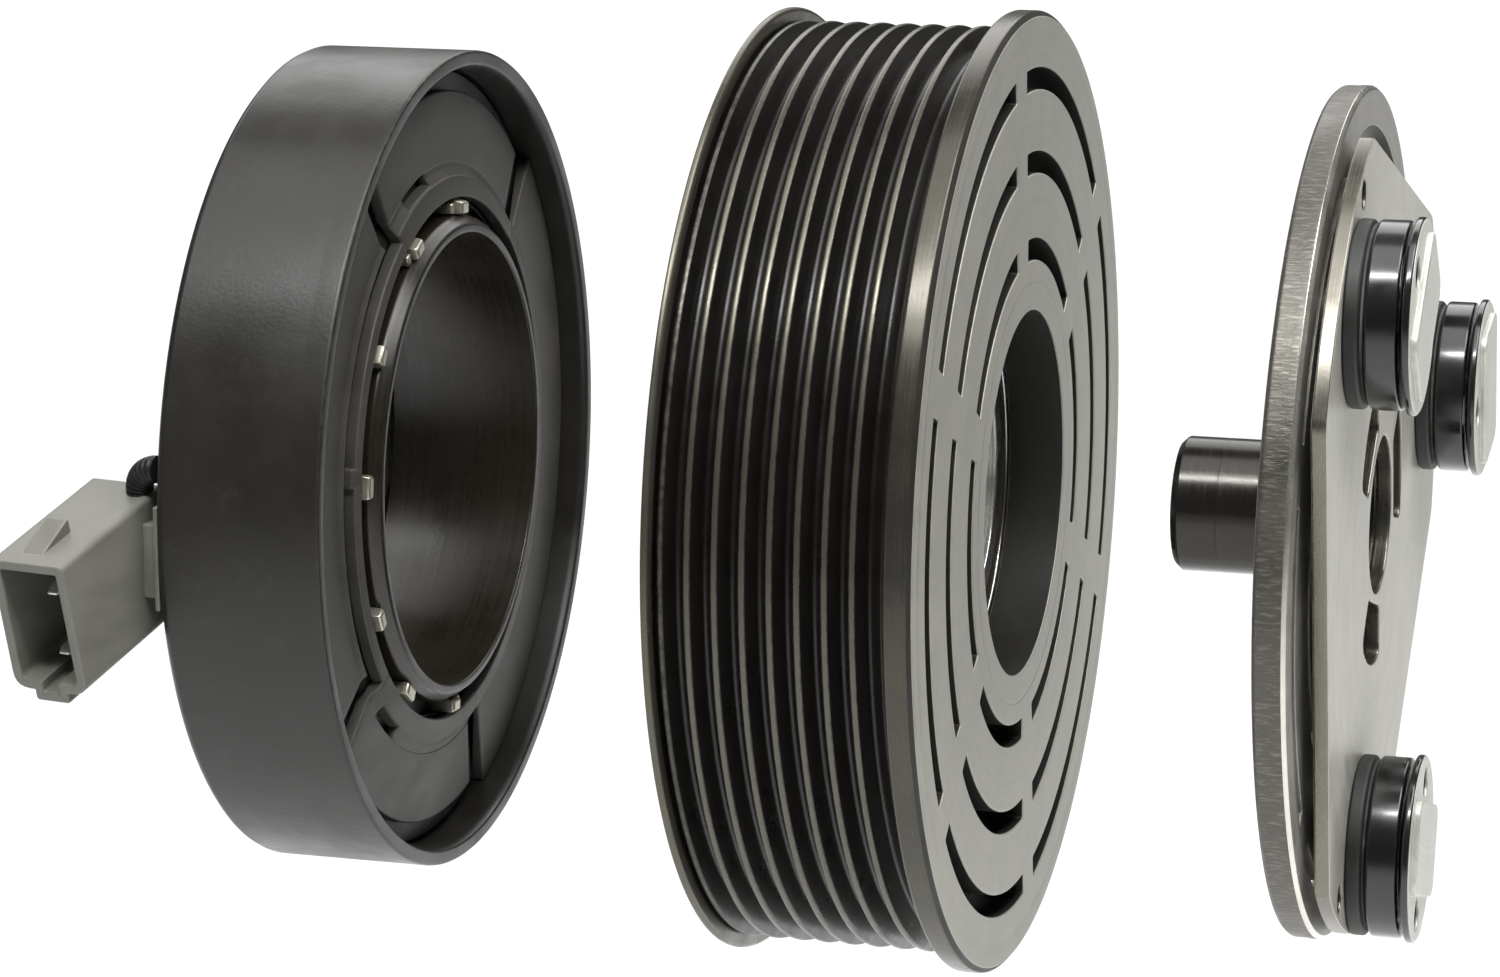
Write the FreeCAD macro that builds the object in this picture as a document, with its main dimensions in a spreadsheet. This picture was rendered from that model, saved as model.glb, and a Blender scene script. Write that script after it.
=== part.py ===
import FreeCAD, Part
import math
import operator
import os

import Sketcher

# Electromagnetic clutch of an air-conditioning compressor, laid out along its own shaft line.
# +X is the shaft line towards the front (armature) side and +Z is up. The origin is the centre of
# the pilot hole at the rear face of the field coil's mounting plate. The three units rest apart:
# field coil, rotor pulley with its bearing, then the armature on its hub.
# Angles are measured about +X, from +Z towards -Y. Lengths are millimetres.

SIZES = {
    # field coil, x from the rear face of the mounting plate
    "pilot_r": 27.5, "plate_dish_r": 34.0, "plate_outer_r": 46.0, "plate_thick": 2.5,
    "plate_dish": 2.0, "coil_outer_r": 57.5, "coil_depth": 23.0, "shell_wall": 2.5,
    "pole_inner_r": 32.0, "pole_wall": 2.4, "pole_setback": 0.2, "shell_chamfer": 0.6,
    "shell_corner": 1.0, "plate_fold": 1.0, "cover_rise": 3.2,
    "cover_recess": 5.7, "cover_thick": 1.3, "pad_height": 0.5, "cover_inner_r": 36.5,
    "bobbin_wall": 1.0, "bobbin_inner_r": 34.9, "bobbin_outer_r": 54.5, "winding_outer_r": 53.8,
    "upper_pad_angle": -6.8, "upper_pad_span": 75.4,
    "lower_pad_angle": 162.0, "lower_pad_span": 66.0,
    "pad_inner_r": 37.6, "pad_outer_r": 53.4,
    "lug_count": 12, "lug_width": 3.2, "lug_height": 4.3, "lug_base": 0.6, "lug_angle": 25.3,
    "lug_margin": 0.1,
    "snap_inner_r": 28.3, "snap_outer_r": 31.8, "snap_thick": 1.2, "snap_span": 325,
    "pin_r": 2.5, "pin_tip": 0.6, "pin_reach": 4.0, "pin_pitch_r": 42.0, "pin_angle": 205,
    # electrical connector, in its own frame: mouth towards -Y, then tilted down
    "socket_x": -2.4, "socket_y": -47.3, "socket_z": -3.8, "socket_tilt": 14.7,
    "socket_yaw": 10.0,
    "socket_wide": 11.3, "socket_high": 18.8, "socket_reach": 24.0, "socket_root": 0.5,
    "socket_wall": 1.3, "socket_cavity": 17.0, "latch_wide": 3.2, "latch_high": 1.9,
    "latch_root": 0.5, "latch_start": 14.6, "latch_end": 21.4, "key_wide": 2.4, "key_deep": 9.0,
    "blade_wide": 2.3, "blade_thick": 0.8, "blade_reach": 11.0, "upper_blade_z": 2.9,
    "lower_blade_z": -5.9, "bracket_start": 1.0, "bracket_end": 7.0, "bracket_high": 10.0,
    "lead_r": 2.0, "lead_bend_r": 5.0, "lead_inset": 1.8, "lead_wall_x": 7.05,
    # rotor pulley, x from its rear face
    "rotor_rest_x": 73.2, "rotor_width": 35.0, "flange_r": 65.5, "crest_r": 63.2,
    "groove_depth": 2.8, "groove_pitch": 3.56, "groove_count": 8, "first_groove_x": 3.78,
    "groove_mouth": 2.71, "groove_root": 0.67, "rear_lip": 1.0, "front_flange_x": 32.0,
    "flange_cone": 1.2,
    "relief_r": 61.4, "relief_wide": 0.7, "rim_chamfer": 0.6, "channel_r": 58.0,
    "face_thick": 7.0, "hub_wall_r": 31.4, "hub_rear_x": 4.7, "seat_r": 27.5, "seat_rear_x": 7.0,
    "bore_lip_r": 25.0, "circlip_groove_r": 28.7, "circlip_groove_x": 5.4,
    "slot_count": 6, "bridge_wide": 6.0, "bridge_angle": 5.5,
    "outer_slot_r": 56.4, "middle_slot_r": 45.1, "inner_slot_r": 33.3, "slot_wide": 3.0,
    # bearing, x from the rotor's rear face
    "bearing_wide": 20.0, "bearing_bore_r": 17.5, "inner_race_r": 20.8, "outer_race_r": 24.3,
    "ball_r": 3.175, "ball_pitch_r": 22.55, "ball_play": 0.085, "ball_count": 16,
    "row_offset": 4.2, "cage_inner_r": 21.8, "cage_outer_r": 23.2, "cage_wide": 7.4,
    "cage_play": 0.2, "seal_thick": 0.7, "seal_inset": 0.3, "seal_play": 0.15,
    "circlip_inner_r": 25.9, "circlip_outer_r": 28.5, "circlip_play": 0.1, "circlip_span": 300,
    # armature unit, x from the rear end of the hub boss
    "armature_rest_x": 129.7, "boss_r": 9.1, "shaft_r": 6.5, "boss_chamfer": 0.7,
    "shim_seat_r": 8.0, "shim_seat_deep": 2.2, "shim_r": 7.8, "shim_bore_r": 6.6,
    "shim_thick": 0.5, "shim_start": 0.7, "collar_r": 12.2, "collar_x": 23.3,
    "nut_seat_r": 8.6, "nut_seat_x": 22.0, "spline_count": 8, "spline_wide": 0.9,
    "spline_r": 7.1, "disc_rear_x": 19.2, "disc_thick": 4.3, "disc_r": 57.0,
    "disc_inner_r": 12.9, "disc_slot_count": 6, "disc_outer_slot_r": 50.5,
    "disc_inner_slot_r": 38.7, "disc_slot_wide": 2.4, "disc_bridge": 8.0,
    "hub_plate_x": 25.0, "hub_plate_thick": 2.0, "hub_plate_r": 56.0, "hub_flat_r": 45.5,
    "hub_hole_r": 10.6, "window_r": 16.3, "window_wide": 7.6, "window_span": 52,
    "tooling_hole_r": 2.0, "tooling_pitch_r": 53.0, "tooling_angle": -14.5,
    "damper_count": 3, "damper_pitch_r": 44.0, "damper_angle": 42.5,
    "cup_flange_r": 12.0, "cup_flange_thick": 2.0, "cup_waist_r": 11.2, "cup_waist": 0.4,
    "cup_r": 12.0, "cup_high": 6.8, "cup_wall": 2.4, "cup_floor": 1.2, "cup_hole_r": 4.2,
    "rubber_play": 0.2, "rivet_r": 3.0, "cap_r": 12.5, "cap_gap": 0.6, "cap_high": 9.3,
    "cap_rim_high": 8.5, "cap_bar_wide": 14.0, "cap_bar_reach": 9.75, "cap_notch_r": 2.3,
    "cap_notch_pitch_r": 8.6, "cap_notch_deep": 1.2,
}
TURN_AXIS = FreeCAD.Vector(1, 0, 0)
OVERCUT = 1.0    # how far a cut runs past the face it opens

doc = FreeCAD.newDocument("ElectromagneticClutch")
sheet = doc.addObject("Spreadsheet::Sheet", "Sizes")
for row, (alias, number) in enumerate(SIZES.items(), start=1):
    sheet.set(f"A{row}", alias)
    sheet.set(f"B{row}", str(number))
    sheet.setAlias(f"B{row}", alias)
doc.recompute()


class Size:
    """A number together with the sheet expression that gives it."""

    def __init__(self, value, text):
        self.value = value
        self.text = text

    def _join(self, other, sign, action):
        other = as_size(other)
        return Size(action(self.value, other.value), f"({self.text} {sign} {other.text})")

    def __add__(self, other):
        return self._join(other, "+", operator.add)

    def __sub__(self, other):
        return self._join(other, "-", operator.sub)

    def __mul__(self, other):
        return self._join(other, "*", operator.mul)

    def __truediv__(self, other):
        return self._join(other, "/", operator.truediv)

    def __neg__(self):
        return Size(-self.value, f"(0 - {self.text})")


def as_size(thing):
    return thing if isinstance(thing, Size) else Size(float(thing), str(thing))


def size(alias):
    return Size(float(sheet.get(alias)), f"Sizes.{alias}")


def sine(angle):
    return Size(math.sin(math.radians(angle.value)), f"sin({angle.text} * 1 deg)")


def cosine(angle):
    return Size(math.cos(math.radians(angle.value)), f"cos({angle.text} * 1 deg)")


def bind(thing, prop, amount):
    thing.setExpression(prop, as_size(amount).text)


# ---- sketches and features -------------------------------------------------------------------

def new_body(label):
    body = doc.addObject("PartDesign::Body", label)
    body.Label = label
    return body


def new_sketch(body, role, lift=None, turn=None, swing=None):
    """Sketch on one of the body's origin planes, lifted along its normal and turned about it,
    or swung about its own horizontal axis."""
    sketch = body.newObject("Sketcher::SketchObject", f"{body.Label}_sketch")
    plane = next(item for item in body.Origin.OriginFeatures if item.Role == role)
    sketch.AttachmentSupport = [(plane, "")]
    sketch.MapMode = "FlatFace"
    if turn is not None:
        spin = FreeCAD.Rotation(FreeCAD.Vector(0, 0, 1), turn.value)
        sketch.AttachmentOffset = FreeCAD.Placement(FreeCAD.Vector(), spin)
        bind(sketch, "AttachmentOffset.Rotation.Angle", turn)
    if swing is not None:
        spin = FreeCAD.Rotation(TURN_AXIS, swing.value)
        sketch.AttachmentOffset = FreeCAD.Placement(FreeCAD.Vector(), spin)
        bind(sketch, "AttachmentOffset.Rotation.Angle", swing)
    if lift is not None:
        bind(sketch, "AttachmentOffset.Base.z", lift)
    return sketch


def constrain(sketch, amount, *terms):
    """A dimension that follows the sheet."""
    amount = as_size(amount)
    unit = math.radians(1) if terms[0] == "Angle" else 1.0
    index = sketch.addConstraint(Sketcher.Constraint(*terms, amount.value * unit))
    sketch.setExpression(f"Constraints[{index}]", amount.text)


def locate(sketch, geometry, point, across, up):
    """Fix one point of a sketch by its two distances from the sketch's origin."""
    for kind, amount, axis in (("DistanceX", across, -2), ("DistanceY", up, -1)):
        if as_size(amount).value == 0:
            sketch.addConstraint(Sketcher.Constraint("PointOnObject", geometry, point, axis))
        else:
            constrain(sketch, amount, kind, -1, 1, geometry, point)


def draw_outline(sketch, points):
    """Closed outline of straight edges through the points."""
    start = sketch.GeometryCount
    spots = [FreeCAD.Vector(as_size(a).value, as_size(b).value, 0) for a, b in points]
    count = len(spots)
    for i in range(count):
        sketch.addGeometry(Part.LineSegment(spots[i], spots[(i + 1) % count]), False)
    for i in range(count):
        after = start + (i + 1) % count
        sketch.addConstraint(Sketcher.Constraint("Coincident", start + i, 2, after, 1))
    for i, (across, up) in enumerate(points):
        locate(sketch, start + i, 1, across, up)


def draw_circle(sketch, across, up, radius):
    middle = FreeCAD.Vector(as_size(across).value, as_size(up).value, 0)
    shape = Part.Circle(middle, FreeCAD.Vector(0, 0, 1), as_size(radius).value)
    index = sketch.addGeometry(shape, False)
    locate(sketch, index, 3, across, up)
    constrain(sketch, radius, "Radius", index)


def draw_sector(sketch, inner_r, outer_r, span):
    """Sector of a ring, centred on the sketch's upward axis."""
    start = sketch.GeometryCount
    half = math.radians(as_size(span).value / 2)
    low, high = math.pi / 2 - half, math.pi / 2 + half
    normal = FreeCAD.Vector(0, 0, 1)
    ends = {}
    for index, radius in ((0, outer_r), (1, inner_r)):
        circle = Part.Circle(FreeCAD.Vector(), normal, radius.value)
        sketch.addGeometry(Part.ArcOfCircle(circle, low, high), False)
        ends[index] = [FreeCAD.Vector(radius.value * math.cos(a), radius.value * math.sin(a), 0)
                       for a in (low, high)]
    for side in (0, 1):
        sketch.addGeometry(Part.LineSegment(ends[1][side], ends[0][side]), False)
    outer, inner, right, left = range(start, start + 4)
    for terms in (("Coincident", outer, 3, -1, 1), ("Coincident", inner, 3, -1, 1),
                  ("Coincident", right, 1, inner, 1), ("Coincident", right, 2, outer, 1),
                  ("Coincident", left, 1, inner, 2), ("Coincident", left, 2, outer, 2),
                  ("Horizontal", outer, 1, outer, 2), ("Horizontal", inner, 1, inner, 2),
                  ("PointOnObject", -1, 1, right)):
        sketch.addConstraint(Sketcher.Constraint(*terms))
    constrain(sketch, outer_r, "Radius", outer)
    constrain(sketch, inner_r, "Radius", inner)
    constrain(sketch, span, "Angle", right, left)


def revolve(body, sketch, span=360):
    """Solid turned about the X axis from a half section in the XZ plane."""
    feature = body.newObject("PartDesign::Revolution", f"{body.Label}_turned")
    feature.Profile = sketch
    feature.ReferenceAxis = (sketch, ["H_Axis"])
    bind(feature, "Angle", span)
    return feature


def groove(body, sketch):
    feature = body.newObject("PartDesign::Groove", f"{body.Label}_groove")
    feature.Profile = sketch
    feature.ReferenceAxis = (sketch, ["H_Axis"])
    feature.Angle = 360
    return feature


def pad(body, sketch, length, both_ways=False):
    feature = body.newObject("PartDesign::Pad", f"{body.Label}_pad")
    feature.Profile = sketch
    feature.Midplane = both_ways
    bind(feature, "Length", length)
    return feature


def pocket(body, sketch, depth=None):
    """Cut through everything both ways, or to a depth against the sketch's normal."""
    feature = body.newObject("PartDesign::Pocket", f"{body.Label}_pocket")
    feature.Profile = sketch
    if depth is None:
        feature.Type = "ThroughAll"
        feature.Midplane = True
    else:
        bind(feature, "Length", depth)
    return feature


def polar(body, feature, count):
    """Repeat a feature evenly about the X axis."""
    pattern = body.newObject("PartDesign::PolarPattern", f"{body.Label}_round")
    pattern.Originals = [feature]
    axis = next(item for item in body.Origin.OriginFeatures if item.Role == "X_Axis")
    pattern.Axis = (axis, [""])
    pattern.Angle = 360
    bind(pattern, "Occurrences", count)
    body.Tip = pattern
    return pattern


def turned(label, points, span=360):
    """Body turned from (x, radius) points."""
    body = new_body(label)
    sketch = new_sketch(body, "XZ_Plane")
    draw_outline(sketch, points)
    revolve(body, sketch, span)
    return body


def ring(label, rear, front, inner_r, outer_r, span=360):
    section = [(rear, inner_r), (front, inner_r), (front, outer_r), (rear, outer_r)]
    return turned(label, section, span)


def place(thing, x=0, y=0, z=0, turn=0):
    """Stand a finished sub-part in the clutch, turned about the X axis."""
    turn = as_size(turn)
    spot = [as_size(amount) for amount in (x, y, z)]
    spin = FreeCAD.Rotation(TURN_AXIS, turn.value)
    thing.Placement = FreeCAD.Placement(FreeCAD.Vector(*(s.value for s in spot)), spin)
    for axis, amount in zip("xyz", spot):
        bind(thing, f"Placement.Base.{axis}", amount)
    if turn.value:
        bind(thing, "Placement.Rotation.Angle", turn)
    return thing


# ---- field coil ------------------------------------------------------------------------------

def coil_stations():
    """Main planes of the field coil along X."""
    rear = size("plate_dish") + size("plate_thick")
    rim = rear + size("coil_depth")
    cover = rim - size("cover_recess")
    return rear, rim, cover


def make_mounting_plate():
    rear, _, _ = coil_stations()
    thick, dish, bend_r = size("plate_thick"), size("plate_dish"), size("plate_dish_r")
    outer_r, fold = size("plate_outer_r"), size("plate_fold")
    return turned("mounting_plate", [
        (0, size("pilot_r")), (0, bend_r), (dish, bend_r + dish), (dish, outer_r),
        (rear, outer_r), (rear, bend_r + dish - fold), (thick, bend_r - fold),
        (thick, size("pilot_r"))])


def make_locating_pin():
    body = new_body("locating_pin")
    sketch = new_sketch(body, "XZ_Plane")
    reach, radius, tip = size("pin_reach"), size("pin_r"), size("pin_tip")
    draw_outline(sketch, [(size("plate_dish"), 0), (size("plate_dish"), radius),
                          (-reach + tip, radius), (-reach, radius - tip), (-reach, 0)])
    revolve(body, sketch)
    angle, pitch_r = size("pin_angle"), size("pin_pitch_r")
    return place(body, 0, -pitch_r * sine(angle), pitch_r * cosine(angle))


def make_coil_housing():
    rear, rim, _ = coil_stations()
    wall, cut, corner = size("shell_wall"), size("shell_chamfer"), size("shell_corner")
    outer_r, pole_r = size("coil_outer_r"), size("pole_inner_r")
    pole_rim, floor = rim - size("pole_setback"), rear + wall
    pole_outer_r = pole_r + size("pole_wall")
    return turned("coil_housing", [
        (rear, pole_r), (pole_rim, pole_r), (pole_rim, pole_outer_r), (floor, pole_outer_r),
        (floor, outer_r - wall), (rim, outer_r - wall), (rim, outer_r - cut),
        (rim - cut, outer_r), (rear + corner, outer_r), (rear, outer_r - corner)])


def make_winding():
    rear, _, cover = coil_stations()
    wall, inner_r, outer_r = size("bobbin_wall"), size("bobbin_inner_r"), size("bobbin_outer_r")
    floor = rear + size("shell_wall")
    turned("coil_bobbin", [
        (floor, inner_r), (cover, inner_r), (cover, outer_r), (cover - wall, outer_r),
        (cover - wall, inner_r + wall), (floor + wall, inner_r + wall),
        (floor + wall, outer_r), (floor, outer_r)])
    ring("coil_winding", floor + wall, cover - wall, inner_r + wall, size("winding_outer_r"))


def make_coil_cover():
    """Resin cover that rises towards the pole, with two raised sector pads."""
    _, _, cover = coil_stations()
    edge, rise = cover + size("cover_thick"), size("cover_rise")
    inner_r, outer_r = size("cover_inner_r"), size("coil_outer_r") - size("shell_wall")
    pad_inner_r, pad_outer_r = size("pad_inner_r"), size("pad_outer_r")

    def pad_top(radius):
        return edge + rise * (outer_r - radius) / (outer_r - inner_r) + size("pad_height")

    body = turned("coil_cover", [(cover, inner_r), (edge + rise, inner_r), (edge, outer_r),
                                 (cover, outer_r)])
    for pad_name in ("upper_pad", "lower_pad"):
        sketch = new_sketch(body, "XZ_Plane", swing=size(f"{pad_name}_angle"))
        draw_outline(sketch, [(edge, pad_inner_r), (pad_top(pad_inner_r), pad_inner_r),
                              (pad_top(pad_outer_r), pad_outer_r), (edge, pad_outer_r)])
        revolve(body, sketch, size(f"{pad_name}_span")).Midplane = True
    return body


def make_retaining_lugs():
    """Thin ring with lugs that bridge the gap between the inner pole and the cover."""
    _, _, cover = coil_stations()
    base_top = cover + size("lug_base")
    inner_r = size("pole_inner_r") + size("pole_wall")
    outer_r = size("cover_inner_r")
    body = ring("retaining_lugs", cover, base_top, inner_r, outer_r)
    sketch = new_sketch(body, "YZ_Plane", lift=base_top)
    half, margin = size("lug_width") / 2, size("lug_margin")
    draw_outline(sketch, [(-half, inner_r + margin), (half, inner_r + margin),
                          (half, outer_r - margin), (-half, outer_r - margin)])
    polar(body, pad(body, sketch, size("lug_height")), size("lug_count"))
    return place(body, turn=size("lug_angle"))


def make_coil_snap_ring():
    rear = size("plate_thick")
    return ring("coil_snap_ring", rear, rear + size("snap_thick"), size("snap_inner_r"),
                size("snap_outer_r"), size("snap_span"))


# ---- connector -------------------------------------------------------------------------------

def place_in_socket_frame(thing, tilted=True):
    """Stand a connector piece on the coil, swung about Z and, if asked, tilted mouth down."""
    place(thing, size("socket_x"), size("socket_y"), size("socket_z"))
    swing = FreeCAD.Rotation(FreeCAD.Vector(0, 0, 1), -size("socket_yaw").value)
    tilt = FreeCAD.Rotation(TURN_AXIS, size("socket_tilt").value if tilted else 0)
    thing.Placement = FreeCAD.Placement(thing.Placement.Base, swing * tilt)
    return thing


def make_connector_housing():
    body = new_body("connector_housing")
    half_wide, half_high = size("socket_wide") / 2, size("socket_high") / 2
    reach, root, wall = size("socket_reach"), size("socket_root"), size("socket_wall")
    block = new_sketch(body, "XZ_Plane", lift=-root)
    draw_outline(block, [(-half_wide, -half_high), (half_wide, -half_high),
                         (half_wide, half_high), (-half_wide, half_high)])
    pad(body, block, reach + root)
    mouth = new_sketch(body, "XZ_Plane", lift=reach)
    across, up = half_wide - wall, half_high - wall
    draw_outline(mouth, [(-across, -up), (across, -up), (across, up), (-across, up)])
    pocket(body, mouth, size("socket_cavity"))
    key = new_sketch(body, "XZ_Plane", lift=reach)
    key_half = size("key_wide") / 2
    draw_outline(key, [(-key_half, -half_high - OVERCUT), (key_half, -half_high - OVERCUT),
                       (key_half, -up + OVERCUT), (-key_half, -up + OVERCUT)])
    pocket(body, key, size("key_deep"))
    ramp = new_sketch(body, "YZ_Plane")
    start, end = -size("latch_start"), -size("latch_end")
    root_z = half_high - size("latch_root")
    draw_outline(ramp, [(start, root_z), (start, half_high + size("latch_high")),
                        (end, half_high), (end, root_z)])
    pad(body, ramp, size("latch_wide"), both_ways=True)
    return place_in_socket_frame(body)


def make_connector_terminals():
    floor = size("socket_reach") - size("socket_cavity")
    half_wide, half_thick = size("blade_wide") / 2, size("blade_thick") / 2
    for number, alias in ((1, "upper_blade_z"), (2, "lower_blade_z")):
        body = new_body(f"connector_terminal_{number}")
        sketch = new_sketch(body, "XZ_Plane", lift=floor)
        low, high = size(alias) - half_thick, size(alias) + half_thick
        draw_outline(sketch, [(-half_wide, low), (half_wide, low), (half_wide, high),
                              (-half_wide, high)])
        pad(body, sketch, size("blade_reach"))
        place_in_socket_frame(body)


def make_connector_bracket():
    """Wedge that joins the side of the connector to the back wall of the coil housing."""
    rear, _, _ = coil_stations()
    body = new_body("connector_bracket")
    sketch = new_sketch(body, "XY_Plane")
    side, yaw = size("socket_wide") / 2, size("socket_yaw")
    start, end = -size("bracket_start"), -size("bracket_end")

    def wall(along):
        return (rear - size("socket_x") - along * sine(yaw)) / cosine(yaw)

    draw_outline(sketch, [(side, end), (wall(end), end), (wall(start), start), (side, start)])
    pad(body, sketch, size("bracket_high"), both_ways=True)
    return place_in_socket_frame(body, tilted=False)


def make_lead_boot():
    """Quarter bend of the sleeved lead, from the coil's back wall to the connector's top."""
    body = new_body("lead_boot")
    sketch = new_sketch(body, "YZ_Plane", lift=size("lead_wall_x"))
    bend_r, foot = size("lead_bend_r"), size("socket_high") / 2
    draw_circle(sketch, -size("lead_inset"), foot + bend_r, size("lead_r"))
    start = FreeCAD.Vector(0, foot.value, 0)
    end = FreeCAD.Vector(bend_r.value, foot.value, 0)
    axis = sketch.addGeometry(Part.LineSegment(start, end), True)
    locate(sketch, axis, 1, 0, foot)
    locate(sketch, axis, 2, bend_r, foot)
    feature = revolve(body, sketch, 90)
    feature.ReferenceAxis = (sketch, ["Axis0"])
    feature.Reversed = True
    return place_in_socket_frame(body)


# ---- rotor pulley and bearing ----------------------------------------------------------------

def place_on_rotor(thing, turn=0):
    return place(thing, size("rotor_rest_x"), turn=turn)


def make_rotor_pulley():
    width, cut = size("rotor_width"), size("rim_chamfer")
    flange_r, crest_r, relief_r = size("flange_r"), size("crest_r"), size("relief_r")
    flange_x, relief = size("front_flange_x"), size("relief_wide")
    cone_x = flange_x - size("flange_cone")
    channel_r, wall_r = size("channel_r"), size("hub_wall_r")
    floor, hub_rear, seat_r = width - size("face_thick"), size("hub_rear_x"), size("seat_r")
    clip_x, clip_r = size("circlip_groove_x"), size("circlip_groove_r")
    seat_rear, lip_r = size("seat_rear_x"), size("bore_lip_r")
    seat_front = seat_rear + size("bearing_wide")
    lip = size("rear_lip")
    body = turned("rotor_pulley", [
        (0, channel_r), (floor, channel_r), (floor, wall_r), (hub_rear, wall_r),
        (hub_rear, seat_r), (clip_x, seat_r), (clip_x, clip_r), (seat_rear, clip_r),
        (seat_rear, seat_r), (seat_front, seat_r), (seat_front, lip_r),
        (width - cut, lip_r), (width, lip_r + cut), (width, flange_r - cut),
        (width - cut, flange_r), (flange_x, flange_r), (cone_x, relief_r),
        (cone_x - relief, relief_r), (cone_x - relief, crest_r),
        (lip + relief, crest_r), (lip + relief, relief_r), (lip, relief_r + relief),
        (lip, flange_r - cut), (0, flange_r - cut)])
    cut_belt_grooves(body)
    cut_face_slots(body)
    return place_on_rotor(body, size("bridge_angle"))


def cut_belt_grooves(body):
    sketch = new_sketch(body, "XZ_Plane")
    middle, crest_r = size("first_groove_x"), size("crest_r")
    root_r = crest_r - size("groove_depth")
    mouth, root = size("groove_mouth") / 2, size("groove_root") / 2
    draw_outline(sketch, [(middle - root, root_r), (middle + root, root_r),
                          (middle + mouth, crest_r), (middle + mouth, crest_r + OVERCUT),
                          (middle - mouth, crest_r + OVERCUT), (middle - mouth, crest_r)])
    first = groove(body, sketch)
    pattern = body.newObject("PartDesign::LinearPattern", "belt_grooves")
    pattern.Originals = [first]
    pattern.Direction = (sketch, ["H_Axis"])
    bind(pattern, "Length", size("groove_pitch") * (size("groove_count") - 1))
    bind(pattern, "Occurrences", size("groove_count"))
    body.Tip = pattern


def ring_slots(body, rings, slot_wide, bridge, count):
    """Rings of arc slots through a plate, with bridges of even width between them."""
    sketch = new_sketch(body, "YZ_Plane", turn=as_size(180) / count)
    for middle_r in rings:
        span = as_size(360) / count - bridge / middle_r * math.degrees(1)
        draw_sector(sketch, middle_r - slot_wide / 2, middle_r + slot_wide / 2, span)
    polar(body, pocket(body, sketch), count)


def cut_face_slots(body):
    rings = [size(alias) for alias in ("outer_slot_r", "middle_slot_r", "inner_slot_r")]
    ring_slots(body, rings, size("slot_wide"), size("bridge_wide"), size("slot_count"))


def row_positions():
    middle = size("seat_rear_x") + size("bearing_wide") / 2
    return {"rear": middle - size("row_offset"), "front": middle + size("row_offset")}


def make_bearing_ring(label, inner_r, outer_r):
    rear = size("seat_rear_x")
    body = ring(label, rear, rear + size("bearing_wide"), inner_r, outer_r)
    sketch = new_sketch(body, "XZ_Plane")
    for row_x in row_positions().values():
        draw_circle(sketch, row_x, size("ball_pitch_r"), size("ball_r") + size("ball_play"))
    groove(body, sketch)
    return place_on_rotor(body)


def make_bearing_seals():
    rear, thick, inset = size("seat_rear_x"), size("seal_thick"), size("seal_inset")
    front = rear + size("bearing_wide") - inset - thick
    for label, start in (("bearing_rear_seal", rear + inset), ("bearing_front_seal", front)):
        place_on_rotor(ring(label, start, start + thick,
                            size("inner_race_r") + size("seal_play"), size("outer_race_r")))


def make_bearing_rows():
    count = int(size("ball_count").value)
    for name, row_x in row_positions().items():
        balls = []
        for number in range(count):
            ball = doc.addObject("Part::Sphere", f"ball_{name}_{number + 1}")
            bind(ball, "Radius", size("ball_r"))
            angle, pitch_r = as_size(360) * number / size("ball_count"), size("ball_pitch_r")
            place(ball, row_x, -pitch_r * sine(angle), pitch_r * cosine(angle))
            balls.append(ball)
        row = doc.addObject("Part::Compound", f"bearing_balls_{name}")
        row.Links = balls
        place_on_rotor(row)
        make_cage(f"bearing_cage_{name}", row_x)


def make_cage(label, row_x):
    half = size("cage_wide") / 2
    body = ring(label, row_x - half, row_x + half, size("cage_inner_r"), size("cage_outer_r"))
    sketch = new_sketch(body, "XY_Plane")
    draw_circle(sketch, row_x, 0, size("ball_r") + size("cage_play"))
    polar(body, pocket(body, sketch, size("seat_r")), size("ball_count"))
    return place_on_rotor(body)


def make_bearing_retaining_ring():
    play = size("circlip_play")
    return place_on_rotor(ring("bearing_retaining_ring", size("circlip_groove_x") + play,
                               size("seat_rear_x") - play, size("circlip_inner_r"),
                               size("circlip_outer_r"), size("circlip_span")))


# ---- armature, hub and dampers ---------------------------------------------------------------

def place_on_hub(thing, turn=0):
    return place(thing, size("armature_rest_x"), turn=turn)


def make_gap_shims():
    for number in (1, 2):
        rear = size("shim_start") + size("shim_thick") * (number - 1)
        place_on_hub(ring(f"gap_shim_{number}", rear, rear + size("shim_thick"),
                          size("shim_bore_r"), size("shim_r")))


def make_hub_boss():
    boss_r, shaft_r, cut = size("boss_r"), size("shaft_r"), size("boss_chamfer")
    seat_deep, seat_r = size("shim_seat_deep"), size("shim_seat_r")
    collar_r, collar_x, front = size("collar_r"), size("collar_x"), size("hub_plate_x")
    nut_r, nut_x = size("nut_seat_r"), size("nut_seat_x")
    body = turned("hub_boss", [
        (seat_deep, shaft_r), (seat_deep, seat_r), (0, seat_r), (0, boss_r - cut),
        (cut, boss_r), (collar_x, boss_r), (collar_x, collar_r), (front, collar_r),
        (front, nut_r), (nut_x, nut_r), (nut_x, shaft_r)])
    half = size("spline_wide") / 2
    sketch = new_sketch(body, "YZ_Plane")
    draw_outline(sketch, [(-half, shaft_r - 0.5), (half, shaft_r - 0.5),
                          (half, size("spline_r")), (-half, size("spline_r"))])
    polar(body, pocket(body, sketch), size("spline_count"))
    return place_on_hub(body)


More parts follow.
